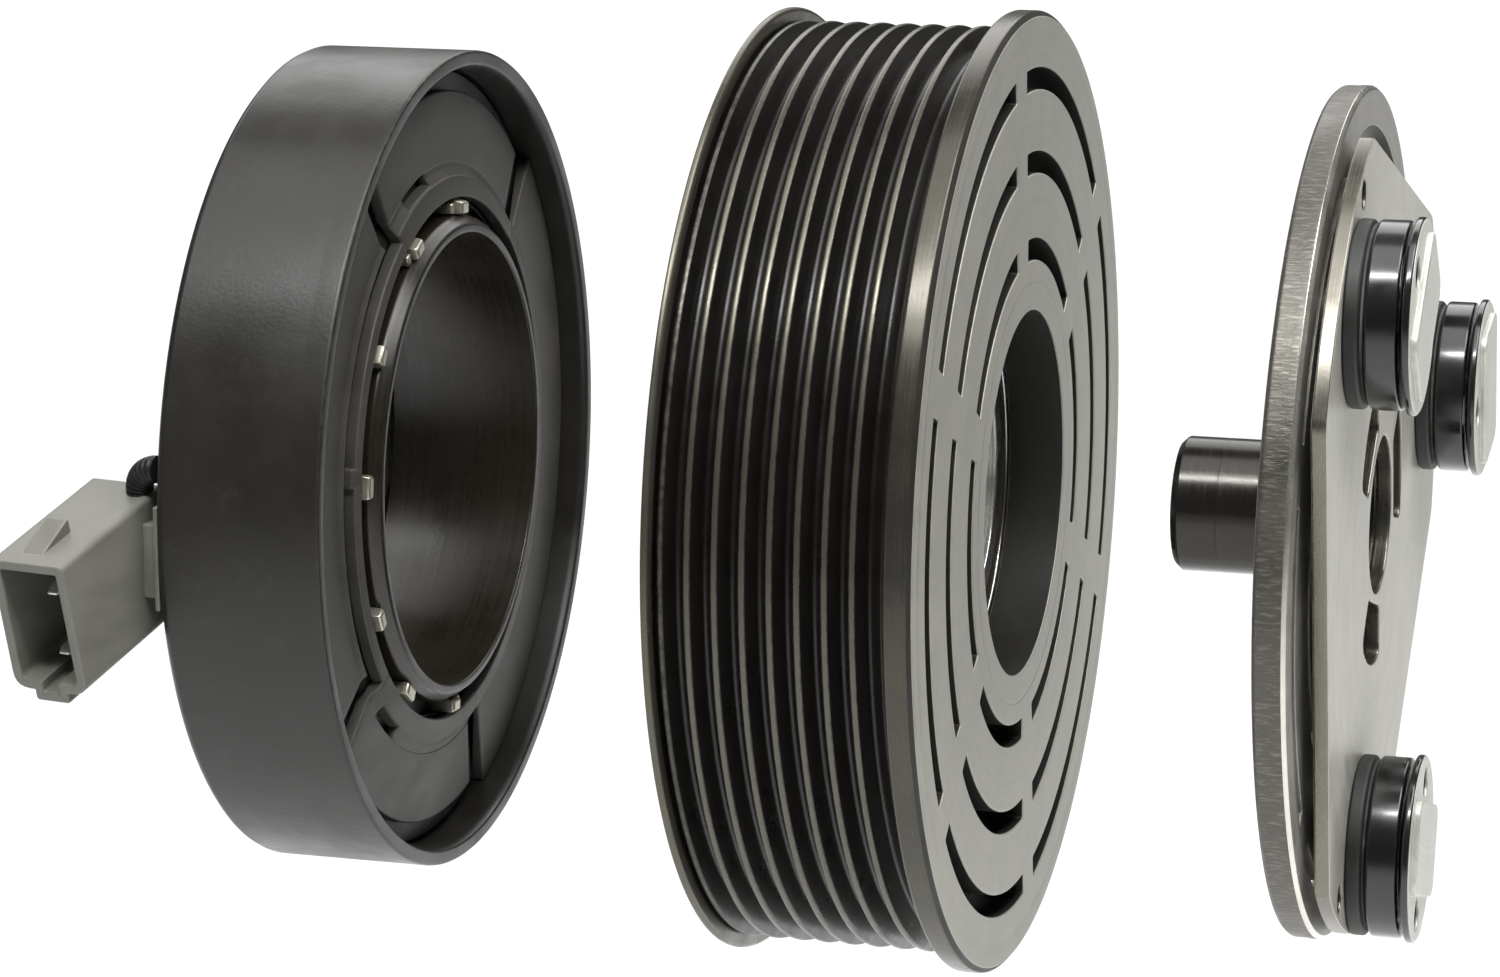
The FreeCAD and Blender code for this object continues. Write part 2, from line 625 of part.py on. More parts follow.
def make_hub_plate():
    """Round plate with three flats midway between the dampers."""
    body = ring("hub_plate", size("hub_plate_x"), size("hub_plate_x") + size("hub_plate_thick"),
                size("hub_hole_r"), size("hub_plate_r"))
    count = size("damper_count")
    flat = new_sketch(body, "YZ_Plane", turn=as_size(180) / count)
    flat_r, plate_r = size("hub_flat_r"), size("hub_plate_r")
    draw_outline(flat, [(-plate_r, flat_r), (plate_r, flat_r), (plate_r, plate_r + 1),
                        (-plate_r, plate_r + 1)])
    polar(body, pocket(body, flat), count)
    window = new_sketch(body, "YZ_Plane")
    half_wide = size("window_wide") / 2
    draw_sector(window, size("window_r") - half_wide, size("window_r") + half_wide,
                size("window_span"))
    draw_circle(window, 0, size("damper_pitch_r"), size("cup_hole_r"))
    polar(body, pocket(body, window), count)
    hole = new_sketch(body, "YZ_Plane", turn=size("tooling_angle"))
    draw_circle(hole, 0, size("tooling_pitch_r"), size("tooling_hole_r"))
    polar(body, pocket(body, hole), count)
    return place_on_hub(body, size("damper_angle"))


def make_armature_disc():
    rear = size("disc_rear_x")
    body = ring("armature_disc", rear, rear + size("disc_thick"), size("disc_inner_r"),
                size("disc_r"))
    ring_slots(body, [size("disc_outer_slot_r"), size("disc_inner_slot_r")],
               size("disc_slot_wide"), size("disc_bridge"), size("disc_slot_count"))
    holes = new_sketch(body, "YZ_Plane")
    draw_circle(holes, 0, size("damper_pitch_r"), size("rivet_r"))
    polar(body, pocket(body, holes), size("damper_count"))
    return place_on_hub(body, size("damper_angle"))


def place_damper(thing, number):
    """Stand a damper piece on its pitch circle; each damper's own axis is parallel to X."""
    angle = size("damper_angle") + as_size(360) * (number - 1) / size("damper_count")
    pitch_r = size("damper_pitch_r")
    return place(thing, size("armature_rest_x"), -pitch_r * sine(angle),
                 pitch_r * cosine(angle), angle)


def make_damper(number):
    seat = size("hub_plate_x") + size("hub_plate_thick")
    flange, waist = seat + size("cup_flange_thick"), size("cup_waist")
    cup_top, cup_r = seat + size("cup_high"), size("cup_r")
    floor, inner_r = seat + size("cup_floor"), cup_r - size("cup_wall")
    cup = turned(f"damper_cup_{number}", [
        (seat, size("cup_hole_r")), (seat, size("cup_flange_r")),
        (flange, size("cup_flange_r")), (flange, size("cup_waist_r")),
        (flange + waist, size("cup_waist_r")), (flange + waist, cup_r),
        (cup_top, cup_r), (cup_top, inner_r), (floor, inner_r), (floor, size("cup_hole_r"))])
    place_damper(cup, number)
    rivet_r = size("rivet_r")
    rubber = ring(f"damper_rubber_{number}", floor, cup_top - size("rubber_play"),
                  rivet_r + size("rubber_play"), inner_r)
    place_damper(rubber, number)
    under = cup_top + size("cap_gap")
    rivet = turned(f"damper_pin_{number}", [
        (size("disc_rear_x"), 0), (size("disc_rear_x"), rivet_r), (under, rivet_r), (under, 0)])
    place_damper(rivet, number)
    place_damper(make_damper_cap(number, seat, under), number)


def make_damper_cap(number, seat, under):
    """Cap with a raised bar across it and a notch at each end of the bar."""
    rim, top = seat + size("cap_rim_high"), seat + size("cap_high")
    cap = turned(f"damper_cap_{number}", [(under, 0), (rim, 0), (rim, size("cap_r")),
                                          (under, size("cap_r"))])
    bar = new_sketch(cap, "YZ_Plane", lift=rim)
    half, reach = size("cap_bar_wide") / 2, size("cap_bar_reach")
    draw_outline(bar, [(-reach, -half), (reach, -half), (reach, half), (-reach, half)])
    pad(cap, bar, top - rim)
    notch = new_sketch(cap, "YZ_Plane", lift=rim)
    for side in (1, -1):
        draw_circle(notch, 0, size("cap_notch_pitch_r") * side, size("cap_notch_r"))
    pocket(cap, notch, size("cap_notch_deep"))
    return cap


def build():
    make_mounting_plate()
    make_locating_pin()
    make_coil_housing()
    make_winding()
    make_coil_cover()
    make_retaining_lugs()
    make_coil_snap_ring()
    make_connector_housing()
    make_connector_terminals()
    make_connector_bracket()
    make_lead_boot()
    make_rotor_pulley()
    make_bearing_ring("bearing_outer_ring", size("outer_race_r"), size("seat_r"))
    make_bearing_ring("bearing_inner_ring", size("bearing_bore_r"), size("inner_race_r"))
    make_bearing_seals()
    make_bearing_rows()
    make_bearing_retaining_ring()
    make_gap_shims()
    make_hub_boss()
    make_hub_plate()
    make_armature_disc()
    for number in range(1, int(size("damper_count").value) + 1):
        make_damper(number)


def export_parts():
    """Check every object, then write one file for each sub-part."""
    doc.recompute()
    for item in doc.Objects:
        if {"Invalid", "Error"} & set(item.State):
            raise RuntimeError(f"{item.Label} did not build: {item.State}")
    finished = [item for item in doc.Objects
                if item.TypeId in ("PartDesign::Body", "Part::Compound")]
    for item in finished:
        if item.Shape.isNull() or not item.Shape.isValid() or item.Shape.Volume <= 0:
            raise RuntimeError(f"{item.Label} has no sound solid")
    os.makedirs("parts", exist_ok=True)
    for item in finished:
        item.Shape.exportStep(os.path.join("parts", f"{item.Label}.step"))
        print(f"{item.Label}: {item.Shape.Volume / 1000:.2f} cm3")


build()
export_parts()
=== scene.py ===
import math
import random

import bmesh
import bpy
from mathutils import Matrix, Vector


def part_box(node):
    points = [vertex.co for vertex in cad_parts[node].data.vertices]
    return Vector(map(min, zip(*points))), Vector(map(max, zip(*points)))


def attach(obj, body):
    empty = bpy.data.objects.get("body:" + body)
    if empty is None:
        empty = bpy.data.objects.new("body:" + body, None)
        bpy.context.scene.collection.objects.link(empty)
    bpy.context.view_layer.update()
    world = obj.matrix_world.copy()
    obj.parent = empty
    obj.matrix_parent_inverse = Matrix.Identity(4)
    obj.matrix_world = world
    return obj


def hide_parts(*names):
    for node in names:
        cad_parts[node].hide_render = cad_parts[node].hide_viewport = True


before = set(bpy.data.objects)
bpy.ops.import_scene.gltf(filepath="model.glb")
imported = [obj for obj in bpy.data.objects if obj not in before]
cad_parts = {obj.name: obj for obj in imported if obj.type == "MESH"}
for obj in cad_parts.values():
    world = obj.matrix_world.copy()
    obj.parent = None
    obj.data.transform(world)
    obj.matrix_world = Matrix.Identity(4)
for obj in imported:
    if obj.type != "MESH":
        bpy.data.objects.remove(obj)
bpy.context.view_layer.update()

# Electromagnetic clutch laid out along +X: field coil, rotor pulley, armature on its hub.
# Angles are measured about +X, from +Z towards -Y. Lengths are metres, except that mm() and
# names ending in _mm take millimetres.
MM = 0.001
TURN = 2 * math.pi


def mm(*amounts):
    scaled = [amount * MM for amount in amounts]
    return scaled[0] if len(scaled) == 1 else scaled


def rad(*degrees):
    turned = [math.radians(value) for value in degrees]
    return turned[0] if len(turned) == 1 else turned


def span_x(node):
    low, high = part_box(node)
    return low.x, high.x


def radius(node):
    low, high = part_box(node)
    return (high.z - low.z) / 2


COIL_REAR, COIL_RIM = span_x("coil_housing")
ROTOR_REAR, ROTOR_FRONT = span_x("rotor_pulley")
BOSS_REAR = span_x("hub_boss")[0]
DISC_REAR, DISC_FRONT = span_x("armature_disc")
PLATE_REAR, PLATE_FRONT = span_x("hub_plate")
DAMPERS = (1, 2, 3)
DAMPER_PITCH_R = mm(44.0)
CREST_R, ROOT_R = mm(63.2, 60.4)


# ---- camera ----------------------------------------------------------------------------------

def make_camera():
    azimuth, elevation = rad(15.9, 12.5)
    lens, distance = 107.3, 0.61
    aside, above = mm(37.6), mm(0.6)
    back = Vector((math.sin(azimuth) * math.cos(elevation),
                   -math.cos(azimuth) * math.cos(elevation), math.sin(elevation)))
    right = Vector((math.cos(azimuth), math.sin(azimuth), 0))
    up = back.cross(right)
    camera = bpy.data.objects.new("camera", bpy.data.cameras.new("camera"))
    camera.data.lens = lens
    camera.data.sensor_width = 36
    camera.data.clip_start = 0.05
    place = Vector((ROTOR_FRONT, 0, 0)) - right * aside + up * above + back * distance
    turn = Matrix((right, up, back)).transposed().to_4x4()
    camera.matrix_world = Matrix.Translation(place) @ turn
    bpy.context.scene.collection.objects.link(camera)
    bpy.context.scene.camera = camera


make_camera()


# ---- materials -------------------------------------------------------------------------------

class Nodes:
    """Short way to build a procedural material around one Principled shader."""

    def __init__(self, name, colour, metallic=0.0, rough=0.5, specular=0.5, coat=0.0):
        self.material = bpy.data.materials.new(name)
        self.material.use_nodes = True
        self.tree = self.material.node_tree
        self.shader = self.tree.nodes["Principled BSDF"]
        self.shader.inputs["Metallic"].default_value = metallic
        self.shader.inputs["Specular IOR Level"].default_value = specular
        self.shader.inputs["Coat Weight"].default_value = coat
        self.shader.inputs["Coat Roughness"].default_value = 0.12
        self.colour = colour
        self.rough = rough
        self.place = self.add("ShaderNodeTexCoord").outputs["Object"]

    def add(self, kind, **settings):
        node = self.tree.nodes.new(kind)
        for key, value in settings.items():
            setattr(node, key, value)
        return node

    def join(self, output, target):
        self.tree.links.new(output, target)

    def math(self, operation, *values):
        node = self.add("ShaderNodeMath", operation=operation)
        for socket, value in zip(node.inputs, values):
            if isinstance(value, (int, float)):
                socket.default_value = value
            else:
                self.join(value, socket)
        return node.outputs[0]

    def ramp(self, value, low, high, to_low=0.0, to_high=1.0):
        node = self.add("ShaderNodeMapRange", interpolation_type="SMOOTHSTEP")
        self.join(value, node.inputs["Value"])
        for key, amount in (("From Min", low), ("From Max", high), ("To Min", to_low),
                            ("To Max", to_high)):
            node.inputs[key].default_value = amount
        return node.outputs["Result"]

    def noise(self, size_mm, detail=3.0, rough=0.55, place=None, stretch=None):
        """Noise with features about size_mm across."""
        node = self.add("ShaderNodeTexNoise")
        node.inputs["Scale"].default_value = 1 / mm(size_mm)
        node.inputs["Detail"].default_value = detail
        node.inputs["Roughness"].default_value = rough
        source = place or self.place
        if stretch:
            mapping = self.add("ShaderNodeMapping")
            mapping.inputs["Scale"].default_value = stretch
            self.join(source, mapping.inputs["Vector"])
            source = mapping.outputs["Vector"]
        self.join(source, node.inputs["Vector"])
        return node.outputs["Fac"]

    def axis_radius(self):
        """Distance from the X axis, and place along it."""
        parts = self.add("ShaderNodeSeparateXYZ")
        self.join(self.place, parts.inputs[0])
        along, across, up = parts.outputs
        square = self.math("ADD", self.math("MULTIPLY", across, across),
                           self.math("MULTIPLY", up, up))
        return self.math("SQRT", square), along

    def rings(self, size_mm):
        """Fine turning marks: noise that changes only with radius and along the axis."""
        distance, along = self.axis_radius()
        joined = self.add("ShaderNodeCombineXYZ")
        self.join(distance, joined.inputs[0])
        self.join(along, joined.inputs[1])
        return self.noise(size_mm, 2.0, 0.6, place=joined.outputs[0])

    def edge_wear(self):
        """Ragged mask along the edges, from how far rounding would turn the surface."""
        bevel = self.add("ShaderNodeBevel", samples=4)
        bevel.inputs["Radius"].default_value = mm(0.35)
        geometry = self.add("ShaderNodeNewGeometry")
        product = self.add("ShaderNodeVectorMath", operation="DOT_PRODUCT")
        self.join(bevel.outputs["Normal"], product.inputs[0])
        self.join(geometry.outputs["Normal"], product.inputs[1])
        turned = self.math("SUBTRACT", 1.0, product.outputs["Value"])
        ragged = self.math("MULTIPLY", turned, self.ramp(self.noise(1.5, 4), 0.3, 0.7, 0.4, 1.6))
        return self.ramp(ragged, 0.01, 0.08)

    def mix(self, factor, first, second):
        node = self.add("ShaderNodeMix", data_type="RGBA")
        self.join(factor, node.inputs["Factor"])
        for socket, value in ((node.inputs[6], first), (node.inputs[7], second)):
            if isinstance(value, tuple):
                socket.default_value = (*value, 1.0)
            else:
                self.join(value, socket)
        return node.outputs[2]

    def tint(self, factor, low, high):
        """Base colour between two brightnesses of the material's colour."""
        dark = tuple(channel * low for channel in self.colour)
        light = tuple(min(channel * high, 1.0) for channel in self.colour)
        return self.mix(factor, dark, light)

    def finish(self, colour, rough_factor=None, rough_spread=0.08, bump=(), bump_mm=0.02):
        self.join(colour, self.shader.inputs["Base Color"])
        if rough_factor is None:
            self.shader.inputs["Roughness"].default_value = self.rough
        else:
            rough = self.ramp(rough_factor, 0.3, 0.7, self.rough - rough_spread,
                              self.rough + rough_spread)
            self.join(rough, self.shader.inputs["Roughness"])
        if bump:
            total = bump[0]
            for extra in bump[1:]:
                total = self.math("ADD", total, extra)
            node = self.add("ShaderNodeBump")
            node.inputs["Strength"].default_value = 1.0
            node.inputs["Distance"].default_value = mm(bump_mm)
            self.join(total, node.inputs["Height"])
            self.join(node.outputs["Normal"], self.shader.inputs["Normal"])
        return self.material


def enamel(name, colour, rough, dust, specular):
    """Baked enamel: fine orange peel, light dust and bare edges."""
    nodes = Nodes(name, colour, rough=rough, specular=specular)
    patches = nodes.noise(14, 4)
    grain = nodes.noise(0.55, 3)
    base = nodes.tint(patches, 0.75, 1.3)
    dusty = nodes.ramp(nodes.noise(5, 5, 0.7), 0.56, 0.82, 0.0, 0.35)
    base = nodes.mix(dusty, base, dust)
    base = nodes.mix(nodes.edge_wear(), base, (0.16, 0.15, 0.12))
    return nodes.finish(base, patches, 0.07, (grain, nodes.noise(2.5, 2)), 0.02)


def steel(name, colour, rough, metallic=0.8, turning=0.35, wear=0.0, bump_mm=0.012,
          stain=0.85):
    """Turned or ground steel with fine rings, faint stains and brighter edges."""
    nodes = Nodes(name, colour, metallic=metallic, rough=rough)
    stains = nodes.noise(9, 5, 0.6)
    rings = nodes.rings(turning)
    speck = nodes.noise(0.5, 3, 0.7)
    blend = nodes.math("ADD", nodes.math("MULTIPLY", stains, 0.6),
                       nodes.math("MULTIPLY", rings, 0.4))
    base = nodes.tint(nodes.ramp(blend, 0.35, 0.65), stain, 1.1)
    if wear:
        bright = tuple(min(channel * 1.7, 0.9) for channel in colour)
        edge = nodes.math("MULTIPLY", nodes.edge_wear(), wear)
        base = nodes.mix(edge, base, bright)
    speck = nodes.math("MULTIPLY", speck, 0.5)
    return nodes.finish(base, blend, 0.07, (rings, speck), bump_mm)


def plastic(name, colour, rough, grain_mm=0.02, grain_size=0.5, specular=0.5, coat=0.0):
    """Moulded plastic or resin: fine grain, flow patches and paler rubbed edges."""
    nodes = Nodes(name, colour, rough=rough, specular=specular, coat=coat)
    flow = nodes.noise(8, 3, 0.5, stretch=(1.0, 0.6, 1.6))
    grain = nodes.noise(grain_size, 3, 0.6)
    base = nodes.tint(nodes.ramp(flow, 0.3, 0.7), 0.86, 1.12)
    pale = tuple(min(channel * 1.5 + 0.02, 1.0) for channel in colour)
    base = nodes.mix(nodes.edge_wear(), base, pale)
    return nodes.finish(base, flow, 0.06, (grain,), grain_mm)


def rubber(name, colour, rough=0.6):
    nodes = Nodes(name, colour, rough=rough, specular=0.35)
    bloom = nodes.noise(4, 4, 0.6)
    base = nodes.tint(bloom, 0.7, 1.6)
    return nodes.finish(base, bloom, 0.1, (nodes.noise(0.3, 3),), 0.02)


def belt_track_paint():
    """Black coat in the belt grooves, rubbed down to metal along the crests."""
    nodes = Nodes("belt_track", (0.008, 0.007, 0.006), rough=0.32, specular=0.35)
    distance, _ = nodes.axis_radius()
    patches = nodes.noise(6, 4, 0.6)
    base = nodes.tint(patches, 0.7, 1.4)
    ragged = nodes.math("ADD", distance,
                        nodes.math("MULTIPLY", nodes.noise(1.2, 3), mm(0.18)))
    crest = nodes.ramp(ragged, CREST_R - mm(0.05), CREST_R + mm(0.04))
    base = nodes.mix(crest, base, (0.095, 0.09, 0.07))
    metal = nodes.math("MULTIPLY", crest, 0.65)
    nodes.join(metal, nodes.shader.inputs["Metallic"])
    return nodes.finish(base, patches, 0.06, (nodes.rings(0.4), nodes.noise(0.5, 2)), 0.01)


MATERIALS = {
    "coil_shell": enamel("coil_enamel", (0.013, 0.012, 0.010), 0.36, (0.05, 0.048, 0.042), 0.4),
    "coil_resin": plastic("coil_resin", (0.050, 0.048, 0.042), 0.5, 0.03, 0.8, 0.35),
    "bobbin_plastic": plastic("bobbin_plastic", (0.02, 0.02, 0.02), 0.5),
    "winding_copper": steel("winding_copper", (0.60, 0.27, 0.13), 0.35, turning=0.5),
    "zinc_plate": steel("zinc_plate", (0.40, 0.37, 0.28), 0.42, turning=1.2, wear=0.4),
    "lug_metal": steel("lug_metal", (0.46, 0.44, 0.36), 0.35, turning=0.8, wear=0.5),
    "spring_steel_gold": steel("gold_zinc", (0.50, 0.38, 0.16), 0.3, turning=0.6, wear=0.5),
    "connector_plastic": plastic("connector_plastic", (0.135, 0.134, 0.115), 0.5, 0.015),
    "terminal_metal": steel("tinned_blade", (0.92, 0.92, 0.88), 0.3, 0.4, 0.4),
    "lead_rubber": rubber("lead_sleeve", (0.010, 0.009, 0.009), 0.45),
    "rotor_steel": steel("rotor_steel", (0.35, 0.345, 0.305), 0.5, 0.35, 0.45, wear=0.5),
    "bearing_steel": steel("bearing_steel", (0.55, 0.55, 0.53), 0.25, 1.0, 0.3),
    "seal_rubber": rubber("seal_rubber", (0.020, 0.014, 0.010)),
    "cage_steel": steel("cage_steel", (0.45, 0.44, 0.42), 0.35, 1.0),
    "spring_steel": steel("spring_steel", (0.10, 0.10, 0.10), 0.3, 0.9, wear=0.5),
    "boss_steel": steel("boss_steel", (0.036, 0.034, 0.030), 0.22, 0.7, 0.5, wear=0.4,
                        bump_mm=0.006),
    "hub_plate_steel": steel("hub_plate_zinc", (0.48, 0.47, 0.42), 0.45, 0.45, 1.5, wear=0.4),
    "cup_black": plastic("cup_gloss", (0.006, 0.006, 0.006), 0.2, 0.004, 1.0, coat=0.3),
    "damper_rubber": rubber("damper_rubber", (0.012, 0.012, 0.012)),
    "armature_steel": steel("armature_steel", (0.30, 0.29, 0.26), 0.42, 0.6, 0.5, wear=0.5,
                            bump_mm=0.02, stain=0.6),
    "cap_steel": steel("cap_zinc", (0.54, 0.535, 0.49), 0.42, 0.45, 1.0, wear=0.4),
}
CUP_MATTE = plastic("cup_matte", (0.010, 0.010, 0.009), 0.55, 0.01)
CAP_BLACK = plastic("cap_black", (0.007, 0.007, 0.006), 0.18, 0.004, coat=0.4)


# ---- mesh helpers ----------------------------------------------------------------------------

def new_object(name, mesh):
    thing = bpy.data.objects.new(name, mesh)
    bpy.context.scene.collection.objects.link(thing)
    return thing


def object_from_bmesh(name, bm, merge=1e-7):
    bmesh.ops.remove_doubles(bm, verts=bm.verts, dist=merge)
    bmesh.ops.recalc_face_normals(bm, faces=bm.faces)
    mesh = bpy.data.meshes.new(name)
    bm.to_mesh(mesh)
    bm.free()
    return new_object(name, mesh)


def apply_modifiers(thing):
    graph = bpy.context.evaluated_depsgraph_get()
    mesh = bpy.data.meshes.new_from_object(thing.evaluated_get(graph))
    thing.modifiers.clear()
    thing.data = mesh
    return thing


def soften(thing, width_mm):
    """Round the sharp edges and keep the flats flat."""
    for face in thing.data.polygons:
        face.use_smooth = True
    if width_mm:
        bevel = thing.modifiers.new("edge", "BEVEL")
        bevel.width = mm(width_mm)
        bevel.segments = 2
        bevel.limit_method = "ANGLE"
        bevel.angle_limit = rad(32)
        bevel.miter_outer = "MITER_ARC"
    weighted = thing.modifiers.new("normals", "WEIGHTED_NORMAL")
    weighted.weight = 100
    weighted.keep_sharp = True
    return apply_modifiers(thing)


def paint(thing, materials, choose):
    """Give each face the material whose index choose(x, distance from the axis, normal) tells."""
    for material in materials:
        thing.data.materials.append(material)
    for face in thing.data.polygons:
        x, y, z = face.center
        face.material_index = choose(x, math.hypot(y, z), face.normal)


def adopt(thing, body, slot, *nodes):
    """Let a finished piece stand for CAD nodes on their body, with its slot's material."""
    if not thing.data.materials:
        thing.data.materials.append(MATERIALS[slot])
    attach(thing, body)
    if nodes:
        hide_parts(*nodes)
    return thing


def around(x, r, angle):
    return Vector((x, -r * math.sin(angle), r * math.cos(angle)))


def even_angles(count, extra=()):
    """Evenly spaced angles round a turn, with the extra ones among them."""
    gap = TURN / count
    wanted = sorted(a % TURN for a in extra)
    angles = list(wanted)
    for i in range(count):
        angle = i * gap
        if all(min(abs(angle - w), TURN - abs(angle - w)) > 0.3 * gap for w in wanted):
            angles.append(angle)
    return sorted(angles)


def polar_bmesh(section, angles, slots=(), reshape=lambda r, angle: r):
    """Closed section of (x, r) points turned about X. Each slot (r0, r1, a0, a1, x0, x1) pierces
    the two flat walls at x0 and x1; the section has points at r0 and r1 on both."""
    bm = bmesh.new()
    count = len(angles)
    grid = [[bm.verts.new(around(x, reshape(r, a), a)) for a in angles] for x, r in section]
    tiny = 1e-6

    def near(p, q):
        return abs(p - q) < tiny

    def open_cell(i, k, column):
        (xa, ra), (xb, rb) = section[i], section[k]
        if not near(xa, xb):
            return False
        middle = angles[column] + ((angles[(column + 1) % count] - angles[column]) % TURN) / 2
        for r0, r1, a0, a1, x0, x1 in slots:
            on_wall = near(xa, x0) or near(xa, x1)
            in_band = min(ra, rb) > r0 - tiny and max(ra, rb) < r1 + tiny
            if on_wall and in_band and (middle - a0) % TURN < (a1 - a0) % TURN:
                return True
        return False

    total = len(section)
    for i in range(total):
        k = (i + 1) % total
        for j in range(count):
            n = (j + 1) % count
            if not open_cell(i, k, j):
                bm.faces.new((grid[i][j], grid[k][j], grid[k][n], grid[i][n]))

    def row_at(x, r):
        return next(row for row, (px, pr) in zip(grid, section) if near(px, x) and near(pr, r))

    def column_at(angle):
        return min(range(count), key=lambda j: abs((angles[j] - angle + math.pi) % TURN - math.pi))

    for r0, r1, a0, a1, x0, x1 in slots:
        corners = [row_at(x, r) for x, r in ((x0, r0), (x0, r1), (x1, r1), (x1, r0))]
        rear_in, rear_out, front_out, front_in = corners
        first, last = column_at(a0), column_at(a1)
        j = first
        while j != last:
            n = (j + 1) % count
            for rear, front in ((rear_in, front_in), (rear_out, front_out)):
                bm.faces.new((rear[j], rear[n], front[n], front[j]))
            j = n
        for j in (first, last):
            bm.faces.new([row[j] for row in corners])
    return bm


def lathe(name, section, width_mm, count=192):
    """Ring turned about X from a closed section, with softened edges."""
    return soften(object_from_bmesh(name, polar_bmesh(section, even_angles(count))), width_mm)


def ring_section(rear, front, inner, outer):
    return [(rear, inner), (front, inner), (front, outer), (rear, outer)]


def skin(bm, rows):
    """Faces between closed rows of equal length, with a face over each end."""
    count = len(rows[0])
    for first, second in zip(rows, rows[1:]):
        for i in range(count):
            k = (i + 1) % count
            bm.faces.new((first[i], first[k], second[k], second[i]))
    bm.faces.new(rows[0])
    bm.faces.new(rows[-1])


def open_lathe(name, section, start, end, steps=120, width_mm=0.15):
    """Part of a turn, closed by its section at both ends."""
    bm = bmesh.new()
    rows = []
    for step in range(steps + 1):
        angle = start + (end - start) * step / steps
        rows.append([bm.verts.new(around(x, r, angle)) for x, r in section])
    skin(bm, rows)
    return soften(object_from_bmesh(name, bm), width_mm)


def loft(name, loops, width_mm):
    """Skin over loops of equal length, closed at both ends."""
    bm = bmesh.new()
    skin(bm, [[bm.verts.new(point) for point in loop] for loop in loops])
    return soften(object_from_bmesh(name, bm), width_mm)


def solid_lathe(name, profile, count, width_mm, middle):
    """Solid turned about an axis parallel to X from (x, r) points; its ends are closed."""
    offset = Vector((0, *middle))
    loops = [[around(x, r, TURN * j / count) + offset for j in range(count)]
             for x, r in profile]
    return loft(name, loops, width_mm)


def arc_points(r, start, end, steps, middle=(0.0, 0.0)):
    """Points (y, z) along an arc about a point."""
    points = []
    for i in range(steps + 1):
        angle = start + (end - start) * i / steps
        points.append((middle[0] - r * math.sin(angle), middle[1] + r * math.cos(angle)))
    return points


def circle_points(r, middle=(0.0, 0.0), count=48):
    return arc_points(r, 0, TURN * (1 - 1 / count), count - 1, middle)


def polar_point(r, angle):
    return (-r * math.sin(angle), r * math.cos(angle))


def rounded(corners, steps):
    """Outline through (a, b, reach) corners, each cut by a smooth bend of that reach."""
    points = []
    for i, (*here, reach) in enumerate(corners):
        if not reach:
            points.append(tuple(here))
            continue
        ends = []
        for other in (corners[i - 1][:2], corners[(i + 1) % len(corners)][:2]):
            share = min(reach / math.dist(here, other), 1.0)
            ends.append([h + (o - h) * share for h, o in zip(here, other)])
        for t in (step / steps for step in range(steps + 1)):
            points.append(tuple((1 - t) ** 2 * p + 2 * t * (1 - t) * h + t * t * q
                                for p, h, q in zip(ends[0], here, ends[1])))
    return points


def plate(name, outlines, rear, front, width_mm):
    """Flat plate square to X, from an outer outline and hole outlines of (y, z) points."""
    curve = bpy.data.curves.new(name, "CURVE")
    curve.dimensions = "2D"
    curve.fill_mode = "BOTH"
    for points in outlines:
        spline = curve.splines.new("POLY")
        spline.points.add(len(points) - 1)
        for point, (y, z) in zip(spline.points, points):
            point.co = (y, z, 0, 1)
        spline.use_cyclic_u = True
    curve.bevel_depth = mm(width_mm)
    curve.bevel_resolution = 3
    curve.offset = -mm(width_mm)
    curve.extrude = (front - rear) / 2 - mm(width_mm)
    source = new_object(name + "_outline", curve)
    graph = bpy.context.evaluated_depsgraph_get()
    mesh = bpy.data.meshes.new_from_object(source.evaluated_get(graph))
    bpy.data.objects.remove(source)
    to_row = Matrix(((0, 0, 1, (rear + front) / 2), (1, 0, 0, 0), (0, 1, 0, 0), (0, 0, 0, 1)))
    mesh.transform(to_row)
    bm = bmesh.new()
    bm.from_mesh(mesh)
    bpy.data.meshes.remove(mesh)
    return soften(object_from_bmesh(name, bm, 1e-6), 0)


def join_pieces(name, pieces):
    """One mesh from several finished ones."""
    bm = bmesh.new()
    for piece in pieces:
        bm.from_mesh(piece.data)
    mesh = bpy.data.meshes.new(name)
    bm.to_mesh(mesh)
    bm.free()
    for piece in pieces:
        bpy.data.objects.remove(piece)
    return soften(new_object(name, mesh), 0)


# ---- field coil ------------------------------------------------------------------------------

def coil_housing():
    rear, rim = COIL_REAR, COIL_RIM
    outer = radius("coil_housing")
    inner_wall, floor = outer - mm(2.5), rear + mm(2.5)
    pole, land, pole_outer, pole_rim = mm(32.0, 33.2, 34.4, 27.2)
    corner = [(rear + mm(1.6) * (1 - math.sin(a)), outer - mm(1.6) * (1 - math.cos(a)))
              for a in rad(10, 35, 60, 85)]
    section = [(rear, pole), (pole_rim, pole), (pole_rim, land), (pole_rim - mm(1.6), pole_outer),
               (floor, pole_outer), (floor, inner_wall), (rim - mm(1.2), inner_wall),
               (rim, inner_wall + mm(0.5)), (rim, outer - mm(0.1)), (rim - mm(0.5), outer),
               (rim - mm(3.2), outer), (rim - mm(3.5), outer - mm(0.06)),
               (rim - mm(3.8), outer), *corner]
    piece = lathe("shell", section, 0.3, 256)
    # The bore and the faces hidden behind the cover get a near-black, dust-free colour: painted
    # shade inside the bore.
    bore = steel("bore_painted_shade", (0.014, 0.011, 0.007), 0.3, 0.0, 0.8, bump_mm=0.003)

    def choose(x, r, _):
        in_bore = r < pole + mm(0.1)
        behind_cover = r < mm(54) and x < pole_rim - mm(0.4)
        return int(in_bore or behind_cover)

    paint(piece, (MATERIALS["coil_shell"], bore), choose)
    adopt(piece, "field_coil", "coil_shell", "coil_housing")


